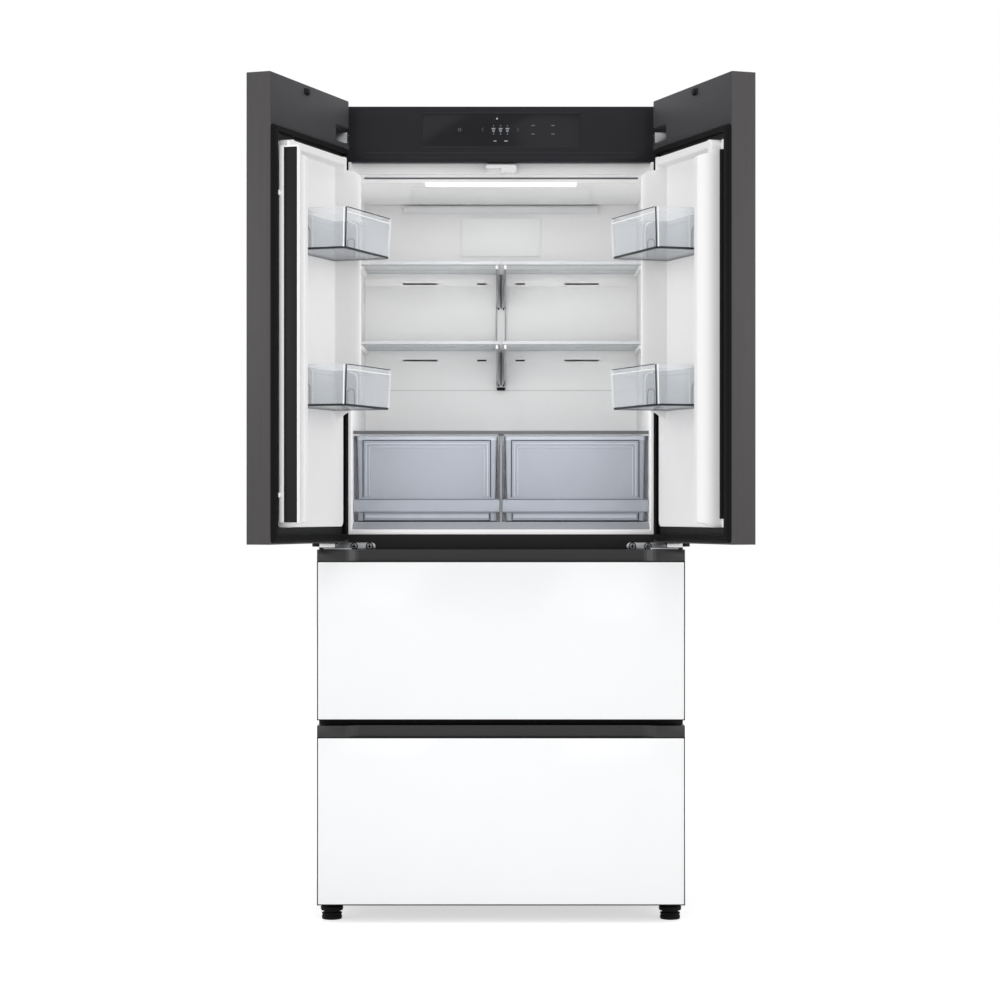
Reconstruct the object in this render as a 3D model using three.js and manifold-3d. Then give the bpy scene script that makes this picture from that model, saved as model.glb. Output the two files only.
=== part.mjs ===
// A kimchi refrigerator: a two-door chilled compartment above two kimchi drawers.
// Millimetres. x runs to the right, y from the case's front plane to the rear, z up from the floor.
// The doors are built closed about their hinge axes and then swung open.
import * as THREE from 'three';
import { mergeVertices } from 'three/addons/utils/BufferGeometryUtils.js';
import Module from 'manifold-3d';

const wasm = await Module();
wasm.setup();

// ---- Driving dimensions: the whole object -------------------------------------------------
const CASE_WIDTH = 832;
const CASE_DEPTH = 630;
const FOOT_HEIGHT = 42; // floor to the underside of the case
const LOWER_FRONT_HEIGHT = 406;
const DRAWER_GAP = 12; // between the two drawer fronts
const UPPER_FRONT_HEIGHT = 386;
const HINGE_GAP = 16; // between the upper drawer front and the doors
const DOOR_HEIGHT = 999;
const FRONT_THICKNESS = 56; // doors and drawer fronts
const SEAL_GAP = 12; // from the case's front plane to the backs of doors and drawer fronts
const DOOR_OPEN_ANGLE = 110;
const DOOR_CENTRE_GAP = 4;

// ---- Walls and fits -----------------------------------------------------------------------
const FIT = 0.3; // between pieces that touch
const SHEET = 1.2; // steel skins
const LINER_WALL = 2.5;
const TRAY_WALL = 3; // crispers and tubs
const BIN_WALL = 2.5;
const GLASS = 4;
const GLASS_CORNER = 1.5;
const RIM = 2.3; // dark rim around each glass front

// ---- Case ---------------------------------------------------------------------------------
const CASE_CORNER = 6;
const DOOR_ABOVE_CASE = 3;
const PANEL_HEIGHT = 127; // control panel, above the door opening
const PANEL_DEPTH = 46;
const PANEL_WALL = 3;
const DISPLAY_WIDTH = 359;
const DISPLAY_HEIGHT = 76;
const DISPLAY_BELOW_TOP = 15;
const DISPLAY_THICKNESS = 1.9;
const BOARD = { halfWidth: 160, halfHeight: 30, thickness: 1.6, standoff: 4, radius: 4, inset: 8 };
const FRAME_DEPTH = 20;
const FLANGE_THICKNESS = 2;
const BACK_INSET = 4;
const BASE_BEAM = { front: 2, rear: 17 }; // carries the front feet
const MACHINE_DEPTH = 215; // machine room, at the rear of the base
const MACHINE_HEIGHT = 220;

// ---- Chilled compartment ------------------------------------------------------------------
const OPENING_INSET = 73; // from the case's side
const LINER_FLANGE = 7;
const LIP_HEIGHT = 10;
const LIP_ABOVE_DOOR_BOTTOM = 18;
const FLOOR_RISE = 17.5;
const FLOOR_RISE_START = 14;
const FLOOR_RISE_END = 40;
const CEILING_DROP = 42;
const CEILING_STEP_DEPTH = 24;
const LAMP_RECESS = { depth: 21, height: 18.5 }; // behind the step, for the lamp and the folded mullion
const LINER_DEPTH = 545;
const DUCT_COVER_FRONT = 450;
const DUCT_COVER_THICKNESS = 4;
const SIDE_TAPER = 0.0149; // each side wall leans in by this much per millimetre of depth
const SHELF_LEVELS = { lower: 420.3, upper: 609.3 }; // undersides, above the compartment floor
const SHELF_FRONT = 205;
const SHELF_REAR = 436;
const SHELF_THICKNESS = 7;
const SHELF_SPLIT = 2;
const LEDGE_WIDTH = 8;
const LEDGE_HEIGHT = 8;
const LEDGE_SETBACK = { shelf: 20, cover: 10 };
const SHELF_SIDE_GAP = 1;
const COVER_LEVEL = 203.8;
const COVER_FRONT = 62;
const COVER_THICKNESS = 7;
const COVER_LEDGE_HEIGHT = 3.5;
const COVER_REAR_GAP = 2;
const CRISPER_HEIGHT = 198.3;
const CRISPER_FRONT = 66;
const CRISPER_REAR = 430;
const CRISPER_INNER = 7.6;
const CRISPER_SIDE_GAP = 7.8; // from the opening's side
const CRISPER_HANDLE = { bottom: 22, top: 53, reach: 10 };
const CRISPER_CORNER = 8;
const RAIL_HALF = 10;
const RAIL_THICKNESS = 9;
const RAIL_CORNER = 4;
const RAIL_TAIL = 96; // below the lower shelf
const BRACKET_THICKNESS = 3.5;
const BRACKET_SETBACK = 3;
const BRACKET_TIP_HEIGHT = 9;
const BRACKET_ROOT_HEIGHT = 84;
const VENT_BAND_HEIGHT = 29;
const VENT_BAND_DEPTH = 1.5;
const VENT_SLOT_HEIGHT = 4;
const VENT_SLOT_RISE = 4;
const VENT_SLOTS = [[36, 59], [157, 242]]; // from the centre, mirrored
const GUIDE_HALF = 35.5;
const GUIDE_HEIGHT = 19;
const GUIDE_BELOW_OPENING_TOP = 5;
const GUIDE_FRONT = 4;
const GUIDE_CORNER = 5;
const NUB_GAP = 1.5;

// ---- Doors, in each door's own frame: the hinge axis is the origin, back faces at y = PIVOT_DEPTH
const PIVOT_INSET = 22; // hinge axis from the door's outer side
const PIVOT_DEPTH = 44; // hinge axis to the door's back face
const DOOR_EDGE_RADIUS = 3;
const SEAL_FROM_SIDE = 24;
const SEAL_FROM_FREE_EDGE = 2;
const SEAL_WIDTH = 15;
const SEAL_CORNER = 5;
const SEAL_ABOVE_BOTTOM = 4;
const SEAL_BELOW_TOP = 110;
const DOOR_LINER = { side: 47, free: 37, bottom: 36, top: 139, thickness: 8, corner: 14 };
const RIDGE = { side: 79, sideWidth: 13, freeWidth: 22, topWidth: 22, height: 62, end: 287 };
const RIDGE_BEVEL = { height: 32, start: 6, end: 14 }; // start below and end above the ceiling
const RIDGE_FOOT_BEVEL = { height: 22, end: 48, above: 2, lipGap: 7 }; // over the floor's riser
const BIN = { gap: 3, length: 253, reach: 145, height: 89, corner: 9 };
const BIN_LUG = { rise: 15, height: 30, from: 20, to: 50 }; // from and to: above the door's back
const BIN_LEVELS = { lower: 294, upper: 627 }; // above the door's bottom edge
const NOTCH = { width: 72, belowTop: 97, height: 36 }; // cut for the upper hinge
const DOOR_PIN_RADIUS = 5;
const DOOR_PIN_DEPTH = 15;
const PIN_FIT = 0.35;

// ---- Folding mullion, carried by the left door ----------------------------------------------
const MULLION = { width: 43, thickness: 13, gap: 0.5, offset: 1.9, bottomInset: 47, topInset: 25 };
const MULLION_PIVOT = { fromFreeEdge: 20.5, fromBack: 10.5 };
const MULLION_PIN = 1.4; // radius
const MULLION_BOSS = { radius: 2.8, height: 10 };
const MULLION_ARM = { height: 12, eye: 2.4, root: 5, reach: 2, drop: 0.2 };
const MULLION_ARMS = [100, 740]; // above the door's bottom edge
const NUB = { radius: 4, height: 10, x: -9, y: 17.5 };

// ---- Hinges; inner and outer are measured from the case's side --------------------------------
const HINGE_PLATE = 3;
const PIN_END_GAP = 2; // between a hinge pin's tip and the end of its bore
const UPPER_HINGE = { inner: 68, outer: 16, width: 26, height: 24, rise: 1, arm: 14, overlap: 3 };
const LOWER_HINGE = {
  inner: 129, outer: 39, bottom: 2, height: 17, corner: 8, eye: 8, armWidth: 64, armRise: 0.5, arm: 3.5,
};

// ---- Drawers ------------------------------------------------------------------------------
const DRAWER_OPENING_INSET = 64; // from the case's side
const DRAWER_SILL = { below: 26, above: 24 }; // front height hidden below and above each opening
const LOWER_SILL = { below: 50, above: 24 };
const UPPER_CAVITY_DEPTH = 540;
const LOWER_CAVITY_DEPTH = 365;
const PULL = { height: 26, depth: 20, inset: 66, blend: 28, line: 2.3, segments: 6 };
const RAIL = { width: 12, height: 40, front: 25, rear: 14, bar: 10 };
const TUB_SIDE_GAP = 4;
const TUB_FLOOR_GAP = 6;
const TUB_TOP_GAP = 12;
const TUB_REAR_GAP = 30;
const RUNNER_HEIGHT = 6;

// ---- Machinery ----------------------------------------------------------------------------
const COIL = { fin: 1, plate: 2, overhang: 10, tube: 5 }; // fin and plate thickness, tube radius
const EVAPORATOR = { half: 255, bottom: 60, height: 190, front: 466, depth: 56, fins: 16, tubes: 2 };
const EVAPORATOR_FAN = { z: 400, radius: 60, hub: 13, front: 462, depth: 24, blades: 6 };
const FAN_BLADE = { thickness: 2, share: 0.9, pitch: 0.7 }; // share of the depth, pitch in radians
const MOTOR = { radius: 26, length: 34, shaft: 3, gap: 1.3, grip: 2, seat: 5 };
const MOTOR_BRACKET = { half: 70, halfHeight: 18, bite: 3 };
const COMPRESSOR = { x: -225, y: 520, radius: 80, height: 178, foot: 8, stub: 5 };
const COMPRESSOR_PLATE = { half: 95, halfDepth: 62, thickness: 4, pad: 13, padInset: 15 };
const DOME_PROFILE = [[0.9, 0], [1.2, 0.08], [1.25, 0.22], [1.25, 0.6], [1.12, 0.82], [0.75, 0.96]];
const CONDENSER = { left: 16, right: 206, front: 440, rear: 600, height: 160, fins: 12, tubes: 2, inset: 6 };
const CONDENSER_FAN = { x: -26, z: 80, radius: 66, hub: 13, depth: 20, blades: 5 };
const SHROUD = { half: 78, thickness: 8, gap: 4, strut: 6, strutHalf: 8 };
const DRIP_TRAY = { left: 240, right: 395, front: 436, rear: 606, height: 46, wall: 2.5, corner: 8 };
const COVER_SLOTS = { count: 9, length: 70, height: 5, pitch: 14, centres: [-225, 110] };
const INLET = { x: -360, radius: 15, neck: 9, bore: 4.5, flange: 2, height: 120, inside: 6 };
const FOOT = { inset: 29, y: 8, disc: 23, discHeight: 16, body: 25, stem: 5, stemTop: 20, stemGap: 2 };
const ROLLER = { inset: 44, y: 565, radius: 20, width: 20, axle: 4, fork: 4, forkGap: 1, forkHalf: 12 };

// ---- Levels that follow from the driving dimensions -----------------------------------------
const CASE_HALF = CASE_WIDTH / 2;
const OPENING_HALF = CASE_HALF - OPENING_INSET;
const CRISPER_OUTER = OPENING_HALF - CRISPER_SIDE_GAP;
const DRAWER_OPENING_HALF = CASE_HALF - DRAWER_OPENING_INSET;
const FOOT_X = CASE_HALF - FOOT.inset;
const ROLLER_X = CASE_HALF - ROLLER.inset;
const INNER_HALF = CASE_HALF - SHEET - FIT;
const LOWER_FRONT_TOP = FOOT_HEIGHT + LOWER_FRONT_HEIGHT;
const UPPER_FRONT_BOTTOM = LOWER_FRONT_TOP + DRAWER_GAP;
const UPPER_FRONT_TOP = UPPER_FRONT_BOTTOM + UPPER_FRONT_HEIGHT;
const DOOR_BOTTOM = UPPER_FRONT_TOP + HINGE_GAP;
const DOOR_TOP = DOOR_BOTTOM + DOOR_HEIGHT;
const CASE_TOP = DOOR_TOP - DOOR_ABOVE_CASE;
const OPENING_TOP = CASE_TOP - PANEL_HEIGHT;
const LIP_BOTTOM = DOOR_BOTTOM + LIP_ABOVE_DOOR_BOTTOM;
const LIP_TOP = LIP_BOTTOM + LIP_HEIGHT;
const FLOOR = LIP_TOP + FLOOR_RISE;
const CEILING = OPENING_TOP - CEILING_DROP;
const COVER_UNDERSIDE = FLOOR + COVER_LEVEL;
const MACHINE_TOP = FOOT_HEIGHT + MACHINE_HEIGHT;
const MACHINE_FRONT = CASE_DEPTH - MACHINE_DEPTH;
const BACK_OUTER = CASE_DEPTH - BACK_INSET;
const BACK_INNER = BACK_OUTER - SHEET;
const BASE_TOP = FOOT_HEIGHT + SHEET;
const DOOR_WIDTH = CASE_HALF - DOOR_CENTRE_GAP / 2;
const NOTCH_BOTTOM = DOOR_TOP - NOTCH.belowTop;
const NOTCH_TOP = NOTCH_BOTTOM + NOTCH.height;
const PIVOT_X = CASE_HALF - PIVOT_INSET;
const PIVOT_Y = -SEAL_GAP - PIVOT_DEPTH;
const FRONT_FACE = -SEAL_GAP - FRONT_THICKNESS;

// ---- Finishes -----------------------------------------------------------------------------
const DARK_STEEL = { color: 0x3a3a3c, roughness: 0.4, metalness: 0.6 };
const DARK_PLASTIC = { color: 0x2a2b2d, roughness: 0.5, metalness: 0 };
const WHITE_PLASTIC = { color: 0xe4e5e7, roughness: 0.4, metalness: 0 };
const WHITE_GLASS = { color: 0xf6f8fa, roughness: 0.08, metalness: 0 };
const CLEAR_PLASTIC = { color: 0xcfd6dd, roughness: 0.1, metalness: 0, transparent: true, opacity: 0.45 };
const GREY_PLASTIC = { color: 0xa6a8ab, roughness: 0.5, metalness: 0 };
const BRIGHT_STEEL = { color: 0xb4b5b7, roughness: 0.3, metalness: 0.9 };
const BLACK_RUBBER = { color: 0x141414, roughness: 0.8, metalness: 0 };
const ALUMINIUM = { color: 0xc2c5c8, roughness: 0.35, metalness: 0.9 };
const BLACK_STEEL = { color: 0x18181a, roughness: 0.45, metalness: 0.5 };
const FOAM = { color: 0xe8dfb8, roughness: 0.9, metalness: 0 };

// ---- Geometry helpers ---------------------------------------------------------------------
const X_AXIS = new THREE.Vector3(1, 0, 0);
const Y_AXIS = new THREE.Vector3(0, 1, 0);
const Z_AXIS = new THREE.Vector3(0, 0, 1);
const EXTRUDE_FRAMES = {
  x: new THREE.Matrix4().makeBasis(Y_AXIS, Z_AXIS, X_AXIS),
  y: new THREE.Matrix4().makeBasis(X_AXIS, Z_AXIS, Y_AXIS.clone().negate()),
  z: new THREE.Matrix4(),
};

function block(x0, x1, y0, y1, z0, z1) {
  const box = new THREE.BoxGeometry(x1 - x0, y1 - y0, z1 - z0);
  return box.translate((x0 + x1) / 2, (y0 + y1) / 2, (z0 + z1) / 2);
}

// Extrudes a shape along one axis. Its plane is (y, z), (x, z) or (x, y) for axis x, y or z.
function extrude(shape, axis, from, to, curveSegments = 2) {
  const settings = { depth: to - from, bevelEnabled: false, curveSegments };
  const start = axis === 'y' ? -to : from;
  return new THREE.ExtrudeGeometry(shape, settings).translate(0, 0, start).applyMatrix4(EXTRUDE_FRAMES[axis]);
}

// A cylinder along an axis; centre gives its other two coordinates, in x, y, z order.
function rod(axis, radius, from, to, centre, sides = 16) {
  const circle = new THREE.Shape().absarc(centre[0], centre[1], radius, 0, 2 * Math.PI);
  return extrude(circle, axis, from, to, sides / 2);
}

function outline(points) {
  return new THREE.Shape(points.map(([a, b]) => new THREE.Vector2(a, b)));
}

function roundedRect(x0, x1, y0, y1, radius) {
  const quarter = Math.PI / 2;
  return new THREE.Shape()
    .absarc(x1 - radius, y0 + radius, radius, -quarter, 0)
    .absarc(x1 - radius, y1 - radius, radius, 0, quarter)
    .absarc(x0 + radius, y1 - radius, radius, quarter, 2 * quarter)
    .absarc(x0 + radius, y0 + radius, radius, 2 * quarter, 3 * quarter);
}

function solid(geometry) {
  const bare = geometry.clone();
  bare.deleteAttribute('normal');
  bare.deleteAttribute('uv');
  const merged = mergeVertices(bare, 1e-4);
  const vertProperties = Float32Array.from(merged.attributes.position.array);
  const triVerts = Uint32Array.from(merged.index.array);
  return new wasm.Manifold(new wasm.Mesh({ numProp: 3, vertProperties, triVerts }));
}

function geometryOf(manifold) {
  const mesh = manifold.getMesh();
  const geometry = new THREE.BufferGeometry();
  geometry.setAttribute('position', new THREE.BufferAttribute(mesh.vertProperties, 3));
  geometry.setIndex(new THREE.BufferAttribute(mesh.triVerts, 1));
  geometry.computeVertexNormals();
  return geometry;
}

function join(...geometries) {
  return geometryOf(geometries.map(solid).reduce((body, next) => body.add(next)));
}

function cut(geometry, ...tools) {
  return geometryOf(tools.map(solid).reduce((body, tool) => body.subtract(tool), solid(geometry)));
}

function common(first, second) {
  return geometryOf(solid(first).intersect(solid(second)));
}

// The mirror image in x, with its faces still pointing out.
function mirrored(geometry) {
  const copy = geometry.index ? geometry.toNonIndexed() : geometry.clone();
  copy.scale(-1, 1, 1);
  const position = copy.attributes.position;
  for (let i = 0; i < position.count; i += 3) {
    const second = new THREE.Vector3().fromBufferAttribute(position, i + 1);
    const third = new THREE.Vector3().fromBufferAttribute(position, i + 2);
    position.setXYZ(i + 1, third.x, third.y, third.z);
    position.setXYZ(i + 2, second.x, second.y, second.z);
  }
  copy.computeVertexNormals();
  return copy;
}

const fridge = new THREE.Group();

function piece(name, geometry, finish, parent = fridge) {
  const mesh = new THREE.Mesh(geometry, new THREE.MeshStandardMaterial(finish));
  mesh.name = name;
  parent.add(mesh);
  return mesh;
}

// ---- Case ---------------------------------------------------------------------------------
function caseOutline(inset) {
  const half = CASE_HALF - inset;
  const top = CASE_TOP - inset;
  return roundedRect(-half, half, FOOT_HEIGHT - CASE_CORNER * 3, top, CASE_CORNER - inset);
}

function outerCase() {
  const shell = cut(
    extrude(caseOutline(0), 'y', 0, CASE_DEPTH),
    extrude(caseOutline(SHEET), 'y', -1, CASE_DEPTH + 1),
  );
  const belowCase = block(-CASE_WIDTH, CASE_WIDTH, -1, CASE_DEPTH + 1, -CASE_WIDTH, FOOT_HEIGHT);
  return cut(shell, belowCase);
}

function backPanel() {
  const top = CASE_TOP - SHEET - FIT;
  const outer = CASE_CORNER - SHEET;
  const sheet = roundedRect(-INNER_HALF, INNER_HALF, MACHINE_TOP + SHEET + FIT, top, outer);
  return extrude(sheet, 'y', BACK_INNER, BACK_OUTER);
}

function rollerFork(side) {
  const inner = ROLLER.width / 2 + ROLLER.forkGap;
  const half = ROLLER.forkHalf;
  const bottom = ROLLER.radius - 2 * ROLLER.axle;
  const cheek = (x0, x1) => block(x0, x1, ROLLER.y - half, ROLLER.y + half, bottom, BASE_TOP);
  const x = side * ROLLER_X;
  return [
    cheek(x - inner - ROLLER.fork, x - inner),
    cheek(x + inner, x + inner + ROLLER.fork),
    rod('x', ROLLER.axle, x - inner - 1, x + inner + 1, [ROLLER.y, ROLLER.radius], 8),
  ];
}

function baseFrame() {
  const bottom = FOOT_HEIGHT;
  const beamTop = bottom + FOOT.stemTop;
  const roofTop = MACHINE_TOP + SHEET;
  const acrossBase = (y0, y1, z0, z1) => block(-INNER_HALF, INNER_HALF, y0, y1, z0, z1);
  const stemBore = (side) => (
    rod('z', FOOT.stem + FIT, bottom - 1, beamTop + 1, [side * FOOT_X, FOOT.y])
  );
  const body = join(
    acrossBase(BASE_BEAM.front, BACK_OUTER, bottom, BASE_TOP),
    acrossBase(BASE_BEAM.front, BASE_BEAM.rear, bottom, beamTop),
    acrossBase(MACHINE_FRONT - SHEET, MACHINE_FRONT, bottom, roofTop),
    acrossBase(MACHINE_FRONT - SHEET, BACK_OUTER, MACHINE_TOP, roofTop),
    ...rollerFork(-1), ...rollerFork(1),
  );
  return cut(body, stemBore(-1), stemBore(1));
}

function panelHousing() {
  const half = INNER_HALF;
  const top = CASE_TOP - SHEET - FIT;
  const shape = roundedRect(-half, half, OPENING_TOP + FIT, top, CASE_CORNER - SHEET);
  const inside = block(
    -half + PANEL_WALL, half - PANEL_WALL, PANEL_WALL, PANEL_DEPTH + 1,
    OPENING_TOP + FIT + PANEL_WALL, top - PANEL_WALL,
  );
  const pocket = block(
    -DISPLAY_WIDTH / 2 - FIT, DISPLAY_WIDTH / 2 + FIT, -1, DISPLAY_THICKNESS + FIT,
    CASE_TOP - DISPLAY_BELOW_TOP - DISPLAY_HEIGHT - FIT, CASE_TOP - DISPLAY_BELOW_TOP + FIT,
  );
  return cut(extrude(shape, 'y', 0, PANEL_DEPTH), inside, pocket);
}

function displayGlass() {
  const top = CASE_TOP - DISPLAY_BELOW_TOP;
  const half = DISPLAY_WIDTH / 2;
  const shape = roundedRect(-half, half, top - DISPLAY_HEIGHT, top, GLASS_CORNER);
  return extrude(shape, 'y', 0, DISPLAY_THICKNESS);
}

function controlBoard() {
  const { halfWidth, halfHeight, thickness, standoff, radius, inset } = BOARD;
  const middle = CASE_TOP - DISPLAY_BELOW_TOP - DISPLAY_HEIGHT / 2;
  const face = PANEL_WALL + standoff;
  const rear = face + thickness;
  const board = block(-halfWidth, halfWidth, face, rear, middle - halfHeight, middle + halfHeight);
  const standoffs = [-1, 1].flatMap((sx) => [-1, 1].map((sz) => {
    const centre = [sx * (halfWidth - inset), middle + sz * (halfHeight - inset)];
    return rod('y', radius, PANEL_WALL + FIT, face + thickness / 2, centre, 8);
  }));
  return join(board, ...standoffs);
}

function frontFrame() {
  const flange = OPENING_HALF + LINER_FLANGE + FIT;
  const body = block(-INNER_HALF, INNER_HALF, 0, FRAME_DEPTH, BASE_TOP + FOOT.stemTop, OPENING_TOP);
  const opening = (half, z0, z1) => block(-half, half, -1, FRAME_DEPTH + 1, z0, z1);
  const drawerHalf = DRAWER_OPENING_HALF + LINER_FLANGE + FIT;
  const rim = LINER_FLANGE + FIT;
  return cut(
    body,
    opening(flange, LIP_BOTTOM - FIT, OPENING_TOP + 1),
    ...Object.values(DRAWERS).map((d) => opening(drawerHalf, d.cavityBottom - rim, d.cavityTop + rim)),
  );
}

// The chilled compartment's space, grown outwards by a wall thickness.
function compartmentSpace(grow, front) {
  const halfAt = (y) => OPENING_HALF + grow - SIDE_TAPER * Math.max(y, 0);
  const rear = LINER_DEPTH + grow;
  const stepFace = CEILING_STEP_DEPTH + grow;
  const recessRear = stepFace + LAMP_RECESS.depth;
  const recessTop = CEILING + LAMP_RECESS.height + grow;
  const plan = outline([
    [-halfAt(front), front], [halfAt(front), front], [halfAt(rear), rear], [-halfAt(rear), rear],
  ]);
  const profile = outline([
    [front, LIP_TOP - grow], [FLOOR_RISE_START, LIP_TOP - grow], [FLOOR_RISE_END, FLOOR - grow],
    [rear, FLOOR - grow], [rear, CEILING + grow], [recessRear, CEILING + grow],
    [recessRear, recessTop], [stepFace, recessTop], [stepFace, OPENING_TOP], [front, OPENING_TOP],
  ]);
  return common(
    extrude(plan, 'z', LIP_TOP - grow - 1, OPENING_TOP + 1),
    extrude(profile, 'x', -CASE_HALF, CASE_HALF),
  );
}

function ledges(top, height, front, rear) {
  const reach = LEDGE_WIDTH + SIDE_TAPER * rear;
  return [-1, 1].map((side) => {
    const inner = side * (OPENING_HALF - reach);
    const outer = side * (OPENING_HALF + LINER_WALL);
    return block(Math.min(inner, outer), Math.max(inner, outer), front, rear, top - height, top);
  });
}

function upperLiner() {
  const flange = OPENING_HALF + LINER_FLANGE;
  const plate = block(-flange, flange, 0, FLANGE_THICKNESS, LIP_BOTTOM, OPENING_TOP);
  const shelfLedges = Object.values(SHELF_LEVELS).flatMap((level) => (
    ledges(FLOOR + level - FIT, LEDGE_HEIGHT, SHELF_FRONT + LEDGE_SETBACK.shelf, SHELF_REAR)
  ));
  const coverLedges = ledges(
    COVER_UNDERSIDE - FIT, COVER_LEDGE_HEIGHT, COVER_FRONT + LEDGE_SETBACK.cover, SHELF_REAR,
  );
  const space = cut(compartmentSpace(0, -1), ...shelfLedges, ...coverLedges);
  return cut(join(compartmentSpace(LINER_WALL, 0), plate), space);
}

function drawerLiner(drawer) {
  const half = DRAWER_OPENING_HALF;
  const { cavityBottom: bottom, cavityTop: top, depth } = drawer;
  const wall = LINER_WALL;
  const outer = block(-half - wall, half + wall, 0, depth + wall, bottom - wall, top + wall);
  const rim = LINER_FLANGE;
  const flange = block(-half - rim, half + rim, 0, FLANGE_THICKNESS, bottom - rim, top + rim);
  return cut(join(outer, flange), block(-half, half, -1, depth, bottom, top));
}

function foam() {
  const front = FRAME_DEPTH + FIT;
  const rear = BACK_INNER - FIT;
  const body = common(
    extrude(caseOutline(SHEET + FIT), 'y', front, rear),
    block(-CASE_HALF, CASE_HALF, front, rear, BASE_TOP + FIT, CASE_TOP),
  );
  const room = block(
    -CASE_HALF, CASE_HALF, MACHINE_FRONT - SHEET - FIT, CASE_DEPTH, 0, MACHINE_TOP + SHEET + FIT,
  );
  const panel = block(-CASE_HALF, CASE_HALF, 0, PANEL_DEPTH + FIT, OPENING_TOP, CASE_TOP);
  const around = (drawer) => block(
    -DRAWER_OPENING_HALF - LINER_WALL - FIT, DRAWER_OPENING_HALF + LINER_WALL + FIT,
    0, drawer.depth + LINER_WALL + FIT,
    drawer.cavityBottom - LINER_WALL - FIT, drawer.cavityTop + LINER_WALL + FIT,
  );
  return cut(body, room, panel, compartmentSpace(LINER_WALL + FIT, 0), ...Object.values(DRAWERS).map(around));
}

// ---- Fittings of the chilled compartment ------------------------------------------------------
function halfWidthAt(y) {
  return OPENING_HALF - SIDE_TAPER * y;
}

function ductCover() {
  const half = halfWidthAt(DUCT_COVER_FRONT + DUCT_COVER_THICKNESS) - FIT;
  const rear = DUCT_COVER_FRONT + DUCT_COVER_THICKNESS;
  const sheet = block(-half, half, DUCT_COVER_FRONT, rear, FLOOR + FIT, CEILING - FIT);
  const cuts = Object.values(SHELF_LEVELS).flatMap((level) => {
    const top = FLOOR + level;
    const bottom = top - VENT_BAND_HEIGHT;
    const band = block(-half - 1, half + 1, 0, DUCT_COVER_FRONT + VENT_BAND_DEPTH, bottom, top);
    const slots = VENT_SLOTS.flatMap(([near, far]) => [[near, far], [-far, -near]]).map(([x0, x1]) => (
      block(x0, x1, 0, rear + 1, bottom + VENT_SLOT_RISE, bottom + VENT_SLOT_RISE + VENT_SLOT_HEIGHT)
    ));
    return [band, ...slots];
  });
  return cut(sheet, ...cuts);
}

function shelfBracket(level, side) {
  const top = FLOOR + level - FIT;
  const tip = SHELF_FRONT + BRACKET_SETBACK;
  const rear = DUCT_COVER_FRONT - FIT - RAIL_THICKNESS / 2;
  const profile = outline([
    [tip, top], [tip, top - BRACKET_TIP_HEIGHT], [rear, top - BRACKET_ROOT_HEIGHT], [rear, top],
  ]);
  const outer = RAIL_HALF + BRACKET_THICKNESS / 2;
  const inner = outer - BRACKET_THICKNESS;
  return side > 0 ? extrude(profile, 'x', inner, outer) : extrude(profile, 'x', -outer, -inner);
}

function shelfRail() {
  const rear = DUCT_COVER_FRONT - FIT;
  const bottom = FLOOR + SHELF_LEVELS.lower - RAIL_TAIL;
  const top = FLOOR + SHELF_LEVELS.upper - FIT;
  const shape = roundedRect(-RAIL_HALF, RAIL_HALF, bottom, top, RAIL_CORNER);
  const bar = extrude(shape, 'y', rear - RAIL_THICKNESS, rear);
  const brackets = Object.values(SHELF_LEVELS).flatMap((level) => (
    [-1, 1].map((side) => shelfBracket(level, side))
  ));
  return join(bar, ...brackets);
}

function shelf(level) {
  const front = SHELF_FRONT;
  const plan = outline([
    [SHELF_SPLIT / 2, front], [halfWidthAt(front) - SHELF_SIDE_GAP, front],
    [halfWidthAt(SHELF_REAR) - SHELF_SIDE_GAP, SHELF_REAR], [SHELF_SPLIT / 2, SHELF_REAR],
  ]);
  return extrude(plan, 'z', FLOOR + level, FLOOR + level + SHELF_THICKNESS);
}

function crisperCover() {
  const rear = DUCT_COVER_FRONT - COVER_REAR_GAP;
  const nearHalf = halfWidthAt(COVER_FRONT) - SHELF_SIDE_GAP;
  const farHalf = halfWidthAt(rear) - SHELF_SIDE_GAP;
  const plan = outline([
    [-nearHalf, COVER_FRONT], [nearHalf, COVER_FRONT], [farHalf, rear], [-farHalf, rear],
  ]);
  return extrude(plan, 'z', COVER_UNDERSIDE, COVER_UNDERSIDE + COVER_THICKNESS);
}

function crisper() {
  const bottom = FLOOR + FIT;
  const top = bottom + CRISPER_HEIGHT;
  const wall = TRAY_WALL;
  const plan = roundedRect(CRISPER_INNER, CRISPER_OUTER, CRISPER_FRONT, CRISPER_REAR, CRISPER_CORNER);
  const inside = roundedRect(
    CRISPER_INNER + wall, CRISPER_OUTER - wall, CRISPER_FRONT + wall, CRISPER_REAR - wall,
    CRISPER_CORNER - wall,
  );
  const handle = block(
    CRISPER_INNER, CRISPER_OUTER, CRISPER_FRONT - CRISPER_HANDLE.reach, CRISPER_FRONT + 1,
    bottom + CRISPER_HANDLE.bottom, bottom + CRISPER_HANDLE.top,
  );
  const grip = block(
    CRISPER_INNER - 1, CRISPER_OUTER + 1,
    CRISPER_FRONT - CRISPER_HANDLE.reach + wall, CRISPER_FRONT - 0.01,
    bottom + CRISPER_HANDLE.bottom - 1, bottom + CRISPER_HANDLE.top - wall,
  );
  const tray = cut(extrude(plan, 'z', bottom, top), extrude(inside, 'z', bottom + wall, top + 1));
  return join(tray, cut(handle, grip));
}

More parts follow.
